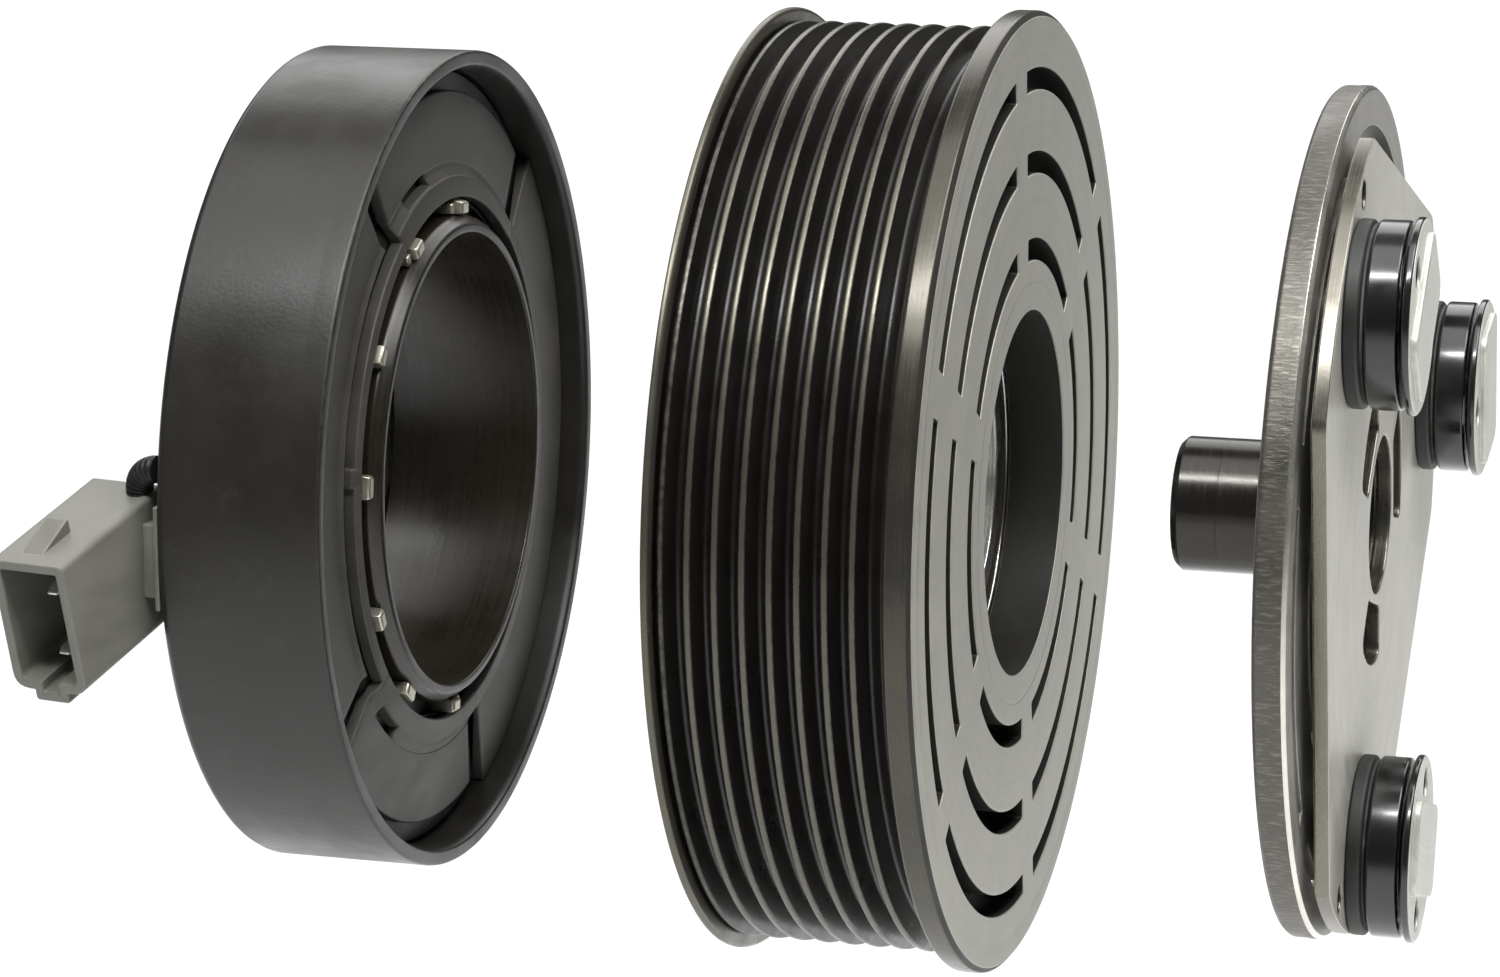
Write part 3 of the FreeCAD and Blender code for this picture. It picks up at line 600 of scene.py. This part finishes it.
COVER_IN, COVER_OUT = mm(36.5, 54.95)
COVER_RISES = [(COVER_IN, mm(2.5)), (mm(39.6), mm(2.0)), (mm(41.2), mm(0.8)), (COVER_OUT, 0.0)]


def cover_rise(r):
    """Rise of the resin face: almost flat outside, then a collar beside the pole."""
    for (r0, rise0), (r1, rise1) in zip(COVER_RISES, COVER_RISES[1:]):
        if r <= r1:
            return rise0 + (rise1 - rise0) * (r - r0) / (r1 - r0)
    return 0.0


def coil_face():
    """Resin face with sunk grooves between its raised fields."""
    rear = span_x("coil_cover")[0]
    edge = rear + mm(1.3)
    bed_drop = mm(1.9)
    turning_radii = [r for r, _ in COVER_RISES[1:-1]]
    bed = lathe("cover_bed", [(rear - mm(1.0), COVER_IN)] +
                [(edge + rise - bed_drop, r) for r, rise in COVER_RISES] +
                [(rear - mm(1.0), COVER_OUT)], 0.1)
    # The sunk groove floors get a near-black resin: painted shade in the grooves.
    bed.data.materials.append(plastic("groove_painted_shade", (0.006, 0.006, 0.005), 0.6))

    def field(low_r, high_r, start, end, lift_mm):
        radii = [low_r, *(r for r in turning_radii if low_r < r < high_r), high_r]
        top = [(edge + cover_rise(r) + mm(lift_mm), r) for r in radii]
        under = edge - mm(1.6)
        section = [(under + cover_rise(low_r), low_r), *top, (under + cover_rise(high_r), high_r)]
        steps = max(4, round(abs(end - start) / rad(1.6)))
        return open_lathe("cover_field", section, start, end, steps, 0.3)

    inner, band, pad_low, pad_high, wall = mm(36.9, 40.2, 41.8, 51.8, 54.9)
    bridge_low, bridge_high, near_band, near_low = mm(39.8, 42.0, 38.7, 40.3)
    plan = []
    for start, end, open_start, open_end in ((-41.8, 29.4, 8.7, 21.2),
                                             (130.8, 191.8, 136.4, 146.4)):
        plan += [(inner, band, start, end, 0.25), (pad_low, pad_high, start, end, 0.25),
                 (bridge_low, bridge_high, start, open_start, 0.25),
                 (bridge_low, bridge_high, open_end, end, 0.25)]
    plan += [(inner, near_band, 29.0, 131.2, 0.25),
             (inner, near_band + mm(0.9), 80.5, 84.5, 0.25),
             (near_low, wall, 34.2, 125.8, 0.0),
             (inner, wall, 197.8, 312.2, 0.35),
             (inner, mm(41.4), 191.4, 318.6, 0.3)]
    raised = join_pieces("cover_raised", [field(low, high, *rad(start, end), lift)
                                          for low, high, start, end, lift in plan])
    raised.data.materials.clear()
    raised.data.materials.append(MATERIALS["coil_resin"])
    adopt(raised, "field_coil", "coil_resin", "coil_cover")
    adopt(bed, "field_coil", "coil_resin", "coil_cover")


def lug_loop(x, shift, half, low, high):
    return [Vector((x, shift + side * half, r))
            for side, r in ((-1, low), (1, low), (1, high), (-1, high))]


def coil_lugs():
    """Staked lugs in the gap round the pole, no two quite alike, on a dark ring."""
    rear, front = span_x("retaining_lugs")
    low, high = mm(34.5, 36.45)
    ring = lathe("lug_ring", ring_section(rear, rear + mm(0.6), low - mm(0.05), high), 0.1)
    ring.data.materials.append(MATERIALS["bobbin_plastic"])
    adopt(ring, "field_coil", "lug_metal", "retaining_lugs")
    chance = random.Random(4)
    pieces = []
    for index in range(12):
        wide = mm(chance.uniform(1.3, 1.7))
        top = front - mm(chance.uniform(0.0, 0.3)) - (mm(2.4) if 5 < index < 11 else 0.0)
        lean = mm(chance.uniform(-0.25, 0.25))
        loops = []
        for x, half, inset in ((rear + mm(0.3), wide, 0.0), (top - mm(1.1), wide, 0.0),
                               (top - mm(0.25), wide * 0.96, mm(0.1)),
                               (top, wide * 0.8, mm(0.35))):
            shift = lean * (x - rear) / (top - rear)
            loops.append(lug_loop(x, shift, half, low + inset, high - inset))
        angle = rad(25.3 + 30 * index + chance.uniform(-1.2, 1.2))
        lug = loft("lug", loops, 0.2)
        lug.data.transform(Matrix.Rotation(angle, 4, "X"))
        pieces.append(lug)
        if index in (0, 5, 9, 11):
            bit = loft("lug", [lug_loop(x, 0.0, mm(0.6), low + mm(0.2), high - mm(0.25))
                               for x in (rear + mm(0.2), top - mm(0.9))], 0.25)
            bit.data.transform(Matrix.Rotation(angle + rad(4.2), 4, "X"))
            pieces.append(bit)
    adopt(join_pieces("pole_lugs", pieces), "field_coil", "lug_metal", "retaining_lugs")


def mounting_plate():
    inner, bend, outer = mm(27.5, 34.0, 46.0)
    thick, dish, rear = mm(2.5, 2.0, 4.5)
    section = [(0, inner), (0, bend), (dish, bend + dish), (dish, outer), (rear, outer),
               (rear, bend + mm(1)), (thick, bend - mm(1)), (thick, inner)]
    piece = lathe("plate", section, 0.35)
    adopt(piece, "field_coil", "zinc_plate", "mounting_plate")
    low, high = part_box("locating_pin")
    middle = (low + high) / 2
    pin_r = mm(2.5)
    pin = solid_lathe("pin", [(high.x, pin_r), (low.x + mm(0.9), pin_r),
                              (low.x + mm(0.2), pin_r - mm(0.5)), (low.x, pin_r - mm(0.8))],
                      32, 0.15, (middle.y, middle.z))
    adopt(pin, "field_coil", "zinc_plate", "locating_pin")


def coil_snap_ring():
    rear, front = span_x("coil_snap_ring")
    ring = open_lathe("coil_circlip", ring_section(rear, front, *mm(28.3, 31.8)),
                      *rad(-90 + 17.5, 270 - 17.5), steps=140)
    adopt(ring, "field_coil", "spring_steel_gold", "coil_snap_ring")


# ---- connector -------------------------------------------------------------------------------

SOCKET_AT = mm(-2.4, -47.3, -3.8)
SOCKET_YAW, SOCKET_TILT = rad(-10, 14.7)
SOCKET_HIGH = mm(9.4)
SOCKET_PLACE = Matrix.Translation(SOCKET_AT) @ Matrix.Rotation(SOCKET_YAW, 4, "Z")
SOCKET = SOCKET_PLACE @ Matrix.Rotation(SOCKET_TILT, 4, "X")


def socket_piece(piece, slot, *nodes, place=SOCKET):
    piece.data.transform(place)
    adopt(piece, "field_coil", slot, *nodes)


def socket_loop(y, grow_mm=0.0):
    """Mouth outline at one Y: box with round lower corners and a keyway under its floor."""
    grow = mm(grow_mm)
    wide, high, key_wide = mm(5.65) + grow, SOCKET_HIGH + grow, mm(2.6) + grow
    key_floor = high + mm(1.5)
    big, small = max(mm(2.4) + grow, mm(0.8)), max(mm(0.9) + grow, mm(0.3))
    corners = [(wide, high, small), (-wide, high, small), (-wide, -high, big),
               (-key_wide, -high, mm(0.15)), (-key_wide, -key_floor, mm(0.5)),
               (key_wide, -key_floor, mm(0.5)), (key_wide, -high, mm(0.15)),
               (wide, -high, big)]
    return [Vector((x, y, z)) for x, z in rounded(corners, 5)]


def connector():
    mouth, root = mm(-24.0, 0.5)
    shell = loft("socket", [
        socket_loop(root, -0.3), socket_loop(root - mm(0.3)), socket_loop(mouth + mm(0.25)),
        socket_loop(mouth, -0.2), socket_loop(mouth, -1.2), socket_loop(mouth + mm(0.4), -1.35),
        socket_loop(mouth + mm(17), -1.45)], 0)
    latch_side = [mm(y, rise) for y, rise in
                  ((-14.6, -0.7), (-14.6, 1.9), (-15.3, 1.95), (-21.4, 0.05), (-21.4, -0.7))]
    latch = loft("latch", [[Vector((x, y, SOCKET_HIGH + rise)) for y, rise in latch_side]
                           for x in mm(-2.2, 1.0)], 0.2)
    socket_piece(join_pieces("socket_shell", [shell, latch]), "connector_plastic",
                 "connector_housing")
    for index, z in ((1, mm(2.9)), (2, mm(-5.9))):
        loops = [[Vector((a * half_wide, y, z + b * half_thick))
                  for a, b in ((1, 1), (-1, 1), (-1, -1), (1, -1))]
                 for y, half_wide, half_thick in (mm(-6.8, 1.15, 0.4), mm(-18.6, 1.15, 0.4),
                                                  mm(-19.8, 0.7, 0.15))]
        socket_piece(loft("blade_%d" % index, loops, 0.08), "terminal_metal",
                     "connector_terminal_%d" % index)


def connector_bracket():
    """Moulded wedge between the connector and the coil's back, with a thin flange on the wall."""
    side, start, wedge_end, flange_end = mm(5.55, -1.0, -7.0, -7.6)

    def wall(along, x=COIL_REAR):
        """Where the coil's back wall, or a plane beside it, is met in the connector's frame."""
        return ((x - SOCKET_AT[0] + along * math.sin(SOCKET_YAW)) / math.cos(SOCKET_YAW), along)

    def prism(heights, *outline):
        return [[Vector((x, y, z)) for x, y in outline] for z in heights]

    thin = COIL_REAR - mm(0.7)
    wedge = prism(mm(-5, 5), (side, wedge_end), wall(wedge_end), wall(start), (side, start))
    flange = prism(mm(-6.5, 7.5), wall(flange_end, thin), wall(flange_end), wall(start),
                   wall(start, thin))
    pieces = [loft("wedge", wedge, 0.25), loft("flange", flange, 0.2)]
    socket_piece(join_pieces("socket_foot", pieces), "connector_plastic", "connector_bracket",
                 place=SOCKET_PLACE)


def lead():
    """Ribbed sleeve over the lead, a quarter bend from the coil's back to the connector."""
    wall_x, bend, inset = mm(7.05, 3.5, -1.8)
    loops = []
    steps = 48
    for step in range(steps + 1):
        t = math.pi / 2 * step / steps
        thick = mm(1.85) - (mm(0.16) if step % 6 in (2, 3) else 0.0)
        middle = Vector((wall_x - bend * math.sin(t), inset, SOCKET_HIGH + bend * math.cos(t)))
        out = Vector((-math.sin(t), 0, math.cos(t)))
        loops.append([middle + out * thick * math.cos(a) + Vector((0, thick * math.sin(a), 0))
                      for a in (TURN * k / 32 for k in range(32))])
    socket_piece(loft("lead_sleeve", loops, 0), "lead_rubber", "lead_boot")


# ---- rotor pulley ----------------------------------------------------------------------------

SLOTS_IN_RING = 6


def slot_list(rings, wide, bridge, first, rear, front):
    """Slots for polar_bmesh, in rings parted by bridges of one width, and their walls' radii."""
    slots = []
    for r in rings:
        gap = bridge / 2 / r
        for k in range(SLOTS_IN_RING):
            start = first + TURN * k / SLOTS_IN_RING
            slots.append((r - wide / 2, r + wide / 2, (start + gap) % TURN,
                          (start + TURN / SLOTS_IN_RING - gap) % TURN, rear, front))
    return slots, sorted(edge for r in rings for edge in (r - wide / 2, r + wide / 2))


def slotted(name, section, slots, count, width_mm):
    """Ring turned from its section and pierced by its slots, with columns at their ends."""
    ends = {round(angle, 6) for slot in slots for angle in slot[2:4]}
    bm = polar_bmesh(section, even_angles(count, ends), slots)
    return soften(object_from_bmesh(name, bm), width_mm)


def groove_section(start):
    """Belt grooves from front to rear, for the part of the section that runs backwards."""
    pitch, first, mouth, flat, sunk = mm(3.56, 3.78, 1.355, 0.42, 0.12)
    half_crest = (pitch - 2 * mouth) / 2
    shoulder = CREST_R - mm(0.08)
    points = []
    for k in reversed(range(8)):
        x = start + first + pitch * k
        points.append((x + mouth, shoulder) if k < 7 else (x + mouth + mm(0.1), ROOT_R + mm(1)))
        points += [(x + flat, ROOT_R + sunk), (x, ROOT_R), (x - flat, ROOT_R + sunk),
                   (x - mouth, shoulder)]
        if k:
            points.append((x - mouth - half_crest, CREST_R))
    return points


def rotor():
    face_slots, slot_wide, bridge = mm(56.4, 45.1, 33.3), mm(3.0), mm(6.0)
    front, rim, face_thick = ROTOR_FRONT, mm(65.5), mm(7.0)
    web = front - face_thick
    slots, walls = slot_list(face_slots, slot_wide, bridge, rad(5.5), web, front)

    def from_rear(*points):
        return [(ROTOR_REAR + mm(x), mm(r)) for x, r in points]

    section = [(ROTOR_REAR, mm(58.6)), (web, mm(58.6)), *((web, r) for r in reversed(walls)),
               (web, mm(31.0))]
    section += from_rear((4.7, 31.0), (4.7, 27.5), (5.4, 27.5), (5.4, 28.7), (7.0, 28.7),
                         (7.0, 27.5), (27.0, 27.5), (27.0, 25.0))
    section += [(front, mm(25.0)), (front, mm(28.6)), (front - mm(0.12), mm(28.85)),
                (front, mm(29.1)), *((front, r) for r in walls),
                (front, mm(61.6)), (front - mm(0.08), mm(61.9)), (front, mm(62.2)),
                (front, rim - mm(0.9)), (front - mm(0.75), rim)]
    section += from_rear((31.9, 65.5), (31.5, 65.35), (30.95, 63.8), (30.6, 61.4))
    section += groove_section(ROTOR_REAR)
    section += from_rear((1.7, 63.1), (1.5, 61.6), (1.1, 61.6), (0.95, 64.5), (0.6, 64.9),
                         (0.0, 64.9))
    piece = slotted("pulley", section, slots, 300, 0.22)
    track_end, flange_end, channel_end = mm(30.4, 34.6, 34.7)
    track_low, flange_low, channel_low, eye_high = mm(59.0, 60.0, 29.5, 25.2)

    def choose(x, r, _):
        """Bare face and bearing seat 0, belt track 1, front flange 2, black channel and eye 3."""
        along = x - ROTOR_REAR
        if r > track_low and along < track_end:
            return 1
        if r > flange_low and along < flange_end:
            return 2
        return 3 if along < channel_end and (r > channel_low or r < eye_high) else 0

    band = steel("flange_band", (0.058, 0.054, 0.043), 0.26, 0.6, 0.5, wear=0.8)
    dark = enamel("channel_black", (0.016, 0.015, 0.013), 0.5, (0.05, 0.048, 0.042), 0.3)
    paint(piece, (MATERIALS["rotor_steel"], belt_track_paint(), band, dark), choose)
    adopt(piece, "rotor", "rotor_steel", "rotor_pulley")


BEARING_REAR, BEARING_FRONT = span_x("bearing_inner_ring")
BEARING_MIDDLE = (BEARING_REAR + BEARING_FRONT) / 2
ROW_OFFSET, BALL_R, BALL_PITCH_R = mm(4.2, 3.175, 22.55)
BALLS_IN_ROW = 16


def race(name, far, edge, body, node):
    """Bearing ring between the radii far and edge, with two ball grooves in its edge side."""
    groove_r, lip = mm(3.3), rad(55)
    into_ring = math.copysign(1, far - edge)
    section = [(BEARING_REAR, far), (BEARING_REAR, edge)]
    for row_x in (BEARING_MIDDLE - ROW_OFFSET, BEARING_MIDDLE + ROW_OFFSET):
        for angle in rad(-55, -30, 0, 30, 55):
            deep = groove_r * math.cos(angle) - groove_r * math.cos(lip)
            section.append((row_x + groove_r * math.sin(angle), edge + into_ring * deep))
    section += [(BEARING_FRONT, edge), (BEARING_FRONT, far)]
    adopt(lathe(name, section, 0.25, 128), body, "bearing_steel", node)


def ball_row(side, sign):
    """Seal, cage and balls of one row; sign points from the seal into the bearing."""
    low, high = span_x("bearing_%s_seal" % side)
    outer, inner = (low, high) if sign > 0 else (high, low)
    lip = outer + sign * mm(0.25)
    section = [(outer, mm(24.25)), (outer, mm(23.4)), (lip, mm(23.2)), (lip, mm(22.0)),
               (outer, mm(21.8)), (outer, mm(21.2)), (lip, mm(20.98)), (inner, mm(20.98)),
               (inner, mm(24.25))]
    seal = lathe("seal_" + side, section, 0.08, 128)
    adopt(seal, "rotor", "seal_rubber", "bearing_%s_seal" % side)
    row_x, cage_half = BEARING_MIDDLE - sign * ROW_OFFSET, mm(3.7)
    cage = lathe("cage_" + side, ring_section(row_x - cage_half, row_x + cage_half,
                                              *mm(21.8, 23.2)), 0.2, 96)
    adopt(cage, "ball_cage", "cage_steel", "bearing_cage_" + side)
    balls = bmesh.new()
    for k in range(BALLS_IN_ROW):
        at = around(row_x, BALL_PITCH_R, TURN * k / BALLS_IN_ROW)
        bmesh.ops.create_uvsphere(balls, u_segments=24, v_segments=16, radius=BALL_R,
                                  matrix=Matrix.Translation(at))
    piece = soften(object_from_bmesh("balls_" + side, balls), 0)
    adopt(piece, "ball_cage", "bearing_steel", "bearing_balls_" + side)


def bearing():
    race("inner_race", *mm(17.5, 20.8), "bearing_inner", "bearing_inner_ring")
    race("outer_race", *mm(27.5, 24.3), "rotor", "bearing_outer_ring")
    ball_row("rear", 1)
    ball_row("front", -1)
    section = ring_section(ROTOR_REAR + mm(5.5), ROTOR_REAR + mm(6.9), *mm(25.9, 28.5))
    clip = open_lathe("bearing_circlip", section, *rad(-90 + 30, 270 - 30))
    adopt(clip, "rotor", "spring_steel", "bearing_retaining_ring")


# ---- armature and hub ------------------------------------------------------------------------

def disc_edge_steel():
    """Rough-turned rim with fine marks along X."""
    nodes = Nodes("disc_edge", (0.095, 0.09, 0.078), metallic=0.6, rough=0.42)
    marks = nodes.noise(0.35, 3, 0.6, stretch=(0.15, 1.0, 1.0))
    patches = nodes.noise(7, 4, 0.6)
    ticks = nodes.ramp(marks, 0.48, 0.72)
    base = nodes.mix(ticks, nodes.tint(patches, 0.6, 1.2), (0.17, 0.16, 0.14))
    base = nodes.mix(nodes.edge_wear(), base, (0.40, 0.39, 0.34))
    return nodes.finish(base, patches, 0.08, (marks, nodes.noise(0.5, 3)), 0.05)


def armature_disc():
    ring_r, slot_wide, bridge = mm(50.5, 38.7), mm(2.4), mm(8.0)
    slots, walls = slot_list(ring_r, slot_wide, bridge, rad(12.5), DISC_REAR, DISC_FRONT)
    eye, rim, edge = mm(12.9, 57.0, 0.55)
    section = [(DISC_REAR, eye), (DISC_FRONT, eye), *((DISC_FRONT, r) for r in walls)]
    section += [(DISC_FRONT, rim - edge), (DISC_FRONT - edge, rim),
                (DISC_FRONT - mm(1.5), rim), (DISC_FRONT - mm(1.7), rim - mm(0.07)),
                (DISC_REAR + mm(0.9), rim - mm(0.07)), (DISC_REAR + edge, rim - mm(0.1)),
                (DISC_REAR, rim - mm(0.6))]
    section += [(DISC_REAR, r) for r in reversed(walls)]
    piece = slotted("disc", section, slots, 240, 0.15)

    def choose(x, r, _):
        """Flat faces 0, rim 1, chamfer 2."""
        if r <= rim - edge:
            return 0
        return 2 if x > DISC_FRONT - edge else 1

    polished = steel("disc_chamfer", (0.62, 0.61, 0.55), 0.25, 0.9, 0.4)
    paint(piece, (MATERIALS["armature_steel"], disc_edge_steel(), polished), choose)
    adopt(piece, "armature", "armature_steel", "armature_disc")


def damper_angle(index):
    return rad(42.5 + 120 * (index - 1))


def window_outline(low, high, first, last, corner=mm(1.9)):
    """Sector window with rounded corners and a straight inner edge."""
    points = []
    for r, other, start, end in ((high, low, first, last), (low, high, last, first)):
        turn = math.copysign(corner / r, end - start)
        inward = math.copysign(corner, other - r)
        points += [polar_point(r + inward * (1 - t) ** 2, start + turn * t * t)
                   for t in (0.0, 0.25, 0.5, 0.75)]
        if r > other:
            points += arc_points(r, start + turn, end - turn, 16)
        else:
            points += [polar_point(r, start + turn), polar_point(r, end - turn)]
        points += [polar_point(r + inward * t * t, end - turn * (1 - t) ** 2)
                   for t in (0.25, 0.5, 0.75, 1.0)]
    return points


def hub_plate():
    """Rounded triangle: an arc beyond each damper, and flats with softened ends between."""
    big, flat = mm(56.0, 45.5)
    half = math.acos(flat / big)
    arcs = []
    for index in DAMPERS:
        middle = damper_angle(index)
        arcs += arc_points(big, middle - rad(60) + half, middle + rad(60) - half, 44)
    outline = []
    for i, here in enumerate(arcs):
        longest = max(math.dist(here, arcs[i - 1]), math.dist(here, arcs[(i + 1) % len(arcs)]))
        outline.append((*here, mm(1.6) if longest > mm(12) else 0))
    eye_r, window_low, window_high, pin_hole_r, tooling_r, tooling_pitch_r = mm(
        10.6, 12.5, 20.1, 4.2, 2.0, 53.0)
    window_half, tooling_turn = rad(26, 14.5)
    holes = [circle_points(eye_r)]
    for index in DAMPERS:
        middle = damper_angle(index)
        tooling = polar_point(tooling_pitch_r, middle - tooling_turn)
        holes += [window_outline(window_low, window_high, middle - window_half,
                                 middle + window_half),
                  circle_points(pin_hole_r, polar_point(DAMPER_PITCH_R, middle), 32),
                  circle_points(tooling_r, tooling, 24)]
    piece = plate("hub_disc", [rounded(outline, 4), *holes], PLATE_REAR, PLATE_FRONT, 0.3)
    # Side faces get a much darker steel than the flat faces: painted shade for the dark
    # reflections along the plate's edge, with real edge wear on top.
    edge = steel("plate_edge_painted_shade", (0.17, 0.16, 0.135), 0.28, 0.85, 0.4, wear=0.5)
    paint(piece, (MATERIALS["hub_plate_steel"], edge),
          lambda x, r, normal: int(abs(normal.x) < 0.8))
    adopt(piece, "hub", "hub_plate_steel", "hub_plate")


def hub_boss():
    """Shaft boss with a flared collar, and a bore with spline grooves."""
    x = BOSS_REAR
    boss, collar, bore = mm(9.1, 12.2, 6.5)
    section = [(x, mm(8.0)), (x, boss - mm(0.8)), (x + mm(0.9), boss), (x + mm(6.0), boss),
               (x + mm(6.15), boss - mm(0.06)), (x + mm(6.3), boss),
               (x + mm(19.5), boss), (x + mm(21.6), boss + mm(0.5)),
               (x + mm(23.3), boss + mm(1.8)), (x + mm(23.3), collar),
               (PLATE_REAR, collar), (PLATE_REAR, mm(8.6)), (x + mm(22.0), mm(8.6)),
               (x + mm(22.0), bore), (x + mm(2.2), bore), (x + mm(2.2), mm(8.0))]
    half, deep = mm(0.45) / bore, mm(0.6)
    middles = [TURN * k / 8 for k in range(8)]
    angles = [middle + half * side for middle in middles for side in (-1.15, -0.85, 0.85, 1.15)]

    def spline(r, angle):
        off = min(abs((angle - middle + math.pi) % TURN - math.pi) for middle in middles)
        return r + deep if r == bore and off < half else r

    bm = polar_bmesh(section, even_angles(96, angles), reshape=spline)
    piece = soften(object_from_bmesh("boss", bm), 0.15)
    adopt(piece, "hub", "boss_steel", "hub_boss")


def gap_shims():
    for index in (1, 2):
        section = ring_section(*span_x("gap_shim_%d" % index), *mm(6.6, 7.8))
        adopt(lathe("shim_%d" % index, section, 0.08, 64), "shaft_shims", "bearing_steel",
              "gap_shim_%d" % index)


def damper(index):
    angle = damper_angle(index)
    middle = polar_point(DAMPER_PITCH_R, angle)

    def from_plate(*points):
        return [(PLATE_FRONT + mm(x), mm(r)) for x, r in points]

    cup_section = from_plate(
        (0, 4.2), (0, 11.7), (0.3, 12.0), (1.7, 12.0), (2.0, 11.8), (2.15, 11.4), (2.35, 11.3),
        (2.55, 11.4), (2.75, 11.8), (3.0, 12.0), (6.4, 12.0), (6.7, 11.85), (6.8, 11.3),
        (6.8, 9.6), (1.2, 9.6), (1.2, 4.2))
    rubber_section = from_plate((1.4, 3.2), (6.3, 3.2), (6.6, 4.4), (6.3, 6.5), (6.4, 9.4),
                                (1.4, 9.4))
    cup = lathe("cup_%d" % index, cup_section, 0.15, 96)
    paint(cup, (MATERIALS["cup_black"], CUP_MATTE),
          lambda x, r, _: int(x < PLATE_FRONT + mm(2.4)))
    rubber_ring = lathe("rubber_%d" % index, rubber_section, 0.2, 64)
    for piece, slot, node in ((cup, "cup_black", "damper_cup_%d"),
                              (rubber_ring, "damper_rubber", "damper_rubber_%d")):
        piece.data.transform(Matrix.Translation((0, *middle)))
        adopt(piece, "hub", slot, node % index)
    low, high = span_x("damper_pin_%d" % index)
    pin = solid_lathe("rivet_%d" % index,
                      [(low, mm(2.4)), (low + mm(0.5), mm(3.0)), (high, mm(3.0))],
                      48, 0.1, middle)
    adopt(pin, "armature", "cap_steel", "damper_pin_%d" % index)
    damper_cap(index, angle, middle)


def damper_cap(index, angle, middle):
    """Black-edged cap: pale face with two round notches and a raised bar between them."""
    low, high = span_x("damper_cap_%d" % index)
    face = high - mm(0.8)
    rim, bar_half, bar_high, bar_corner = mm(12.5, 9.75, 6.2, 2.2)
    notch_r, notch_offset = mm(2.3, 8.6)
    place = Matrix.Translation((0, *middle)) @ Matrix.Rotation(angle, 4, "X")
    notches = [circle_points(notch_r, (0.0, side * notch_offset), 32) for side in (1, -1)]
    back = plate("cap_back_%d" % index, [circle_points(rim, count=96), *notches],
                 low, face - mm(0.12), 0.3)
    back.data.materials.append(CAP_BLACK)
    disc = plate("cap_face", [circle_points(rim - mm(0.25), count=96), *notches],
                 face - mm(0.6), face, 0.2)
    corners = []
    for y, z, start in ((1, 1, 270), (-1, 1, 0), (-1, -1, 90), (1, -1, 180)):
        corners += arc_points(bar_corner, *rad(start, start + 90), 6,
                              (y * (bar_half - bar_corner), z * (bar_high - bar_corner)))
    bar = plate("cap_bar", [corners], face - mm(0.3), high, 0.3)
    front = join_pieces("cap_%d" % index, [disc, bar])
    for piece in (back, front):
        piece.data.transform(place)
        adopt(piece, "armature", "cap_steel", "damper_cap_%d" % index)


# ---- lights and floor ------------------------------------------------------------------------

LIGHTS = [
    # name, size, power, place, aim
    ("softbox", (1.3, 0.9), 9.5, (0.05, -0.25, 0.95), (0.08, 0.05, 0)),
    ("near_upper", (0.7, 0.06), 7.5, (0.12, -0.48, 0.75), (0.08, 0, 0)),
    ("floor_wash", (3.2, 3.0), 75.0, (-0.5, 2.6, 1.6), (-0.5, 2.6, 0)),
    ("front_top", (0.5, 0.5), 5.5, (0.60, -0.05, 0.85), (0.08, 0, 0)),
]
FLOOR_HALF, FLOOR_Z, FLOOR_TILES = 6.0, -0.24, 12


def area_light(name, size, power, at, towards):
    data = bpy.data.lights.new(name, "AREA")
    data.shape = "RECTANGLE"
    data.size, data.size_y = size
    data.energy = power
    light = bpy.data.objects.new(name, data)
    direction = (Vector(towards) - Vector(at)).normalized()
    light.matrix_world = (Matrix.Translation(at)
                          @ direction.to_track_quat("-Z", "Y").to_matrix().to_4x4())
    bpy.context.scene.collection.objects.link(light)


def studio():
    bpy.context.scene.view_settings.view_transform = "Standard"
    world = bpy.data.worlds.new("studio")
    bpy.context.scene.world = world
    world.use_nodes = True
    background = world.node_tree.nodes["Background"]
    background.inputs["Color"].default_value = (1, 1, 1, 1)
    background.inputs["Strength"].default_value = 0.08
    for light in LIGHTS:
        area_light(*light)
    floor_mesh = bpy.data.meshes.new("floor")
    bm = bmesh.new()
    steps = [-FLOOR_HALF + 2 * FLOOR_HALF * i / FLOOR_TILES for i in range(FLOOR_TILES + 1)]
    grid = [[bm.verts.new((x, y, FLOOR_Z)) for y in steps] for x in steps]
    for near, far in zip(grid, grid[1:]):
        for j in range(FLOOR_TILES):
            bm.faces.new((near[j], far[j], far[j + 1], near[j + 1]))
    bm.to_mesh(floor_mesh)
    bm.free()
    floor = new_object("floor", floor_mesh)
    nodes = Nodes("floor_white", (0.95, 0.95, 0.95), rough=0.7, specular=0.2)
    floor.data.materials.append(nodes.finish(nodes.tint(nodes.noise(60, 3), 0.99, 1.01), None,
                                             bump=(nodes.noise(3, 2),), bump_mm=0.01))


def carried_over():
    """CAD shapes that stay as they are get their slot's material."""
    for name, slot in (("coil_bobbin", "bobbin_plastic"), ("coil_winding", "winding_copper")):
        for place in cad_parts[name].material_slots:
            place.material = MATERIALS[slot]


for make in (coil_housing, coil_face, coil_lugs, mounting_plate, coil_snap_ring, connector,
             connector_bracket, lead, rotor, bearing, armature_disc, hub_plate, hub_boss,
             gap_shims):
    make()
for number in DAMPERS:
    damper(number)
carried_over()
studio()
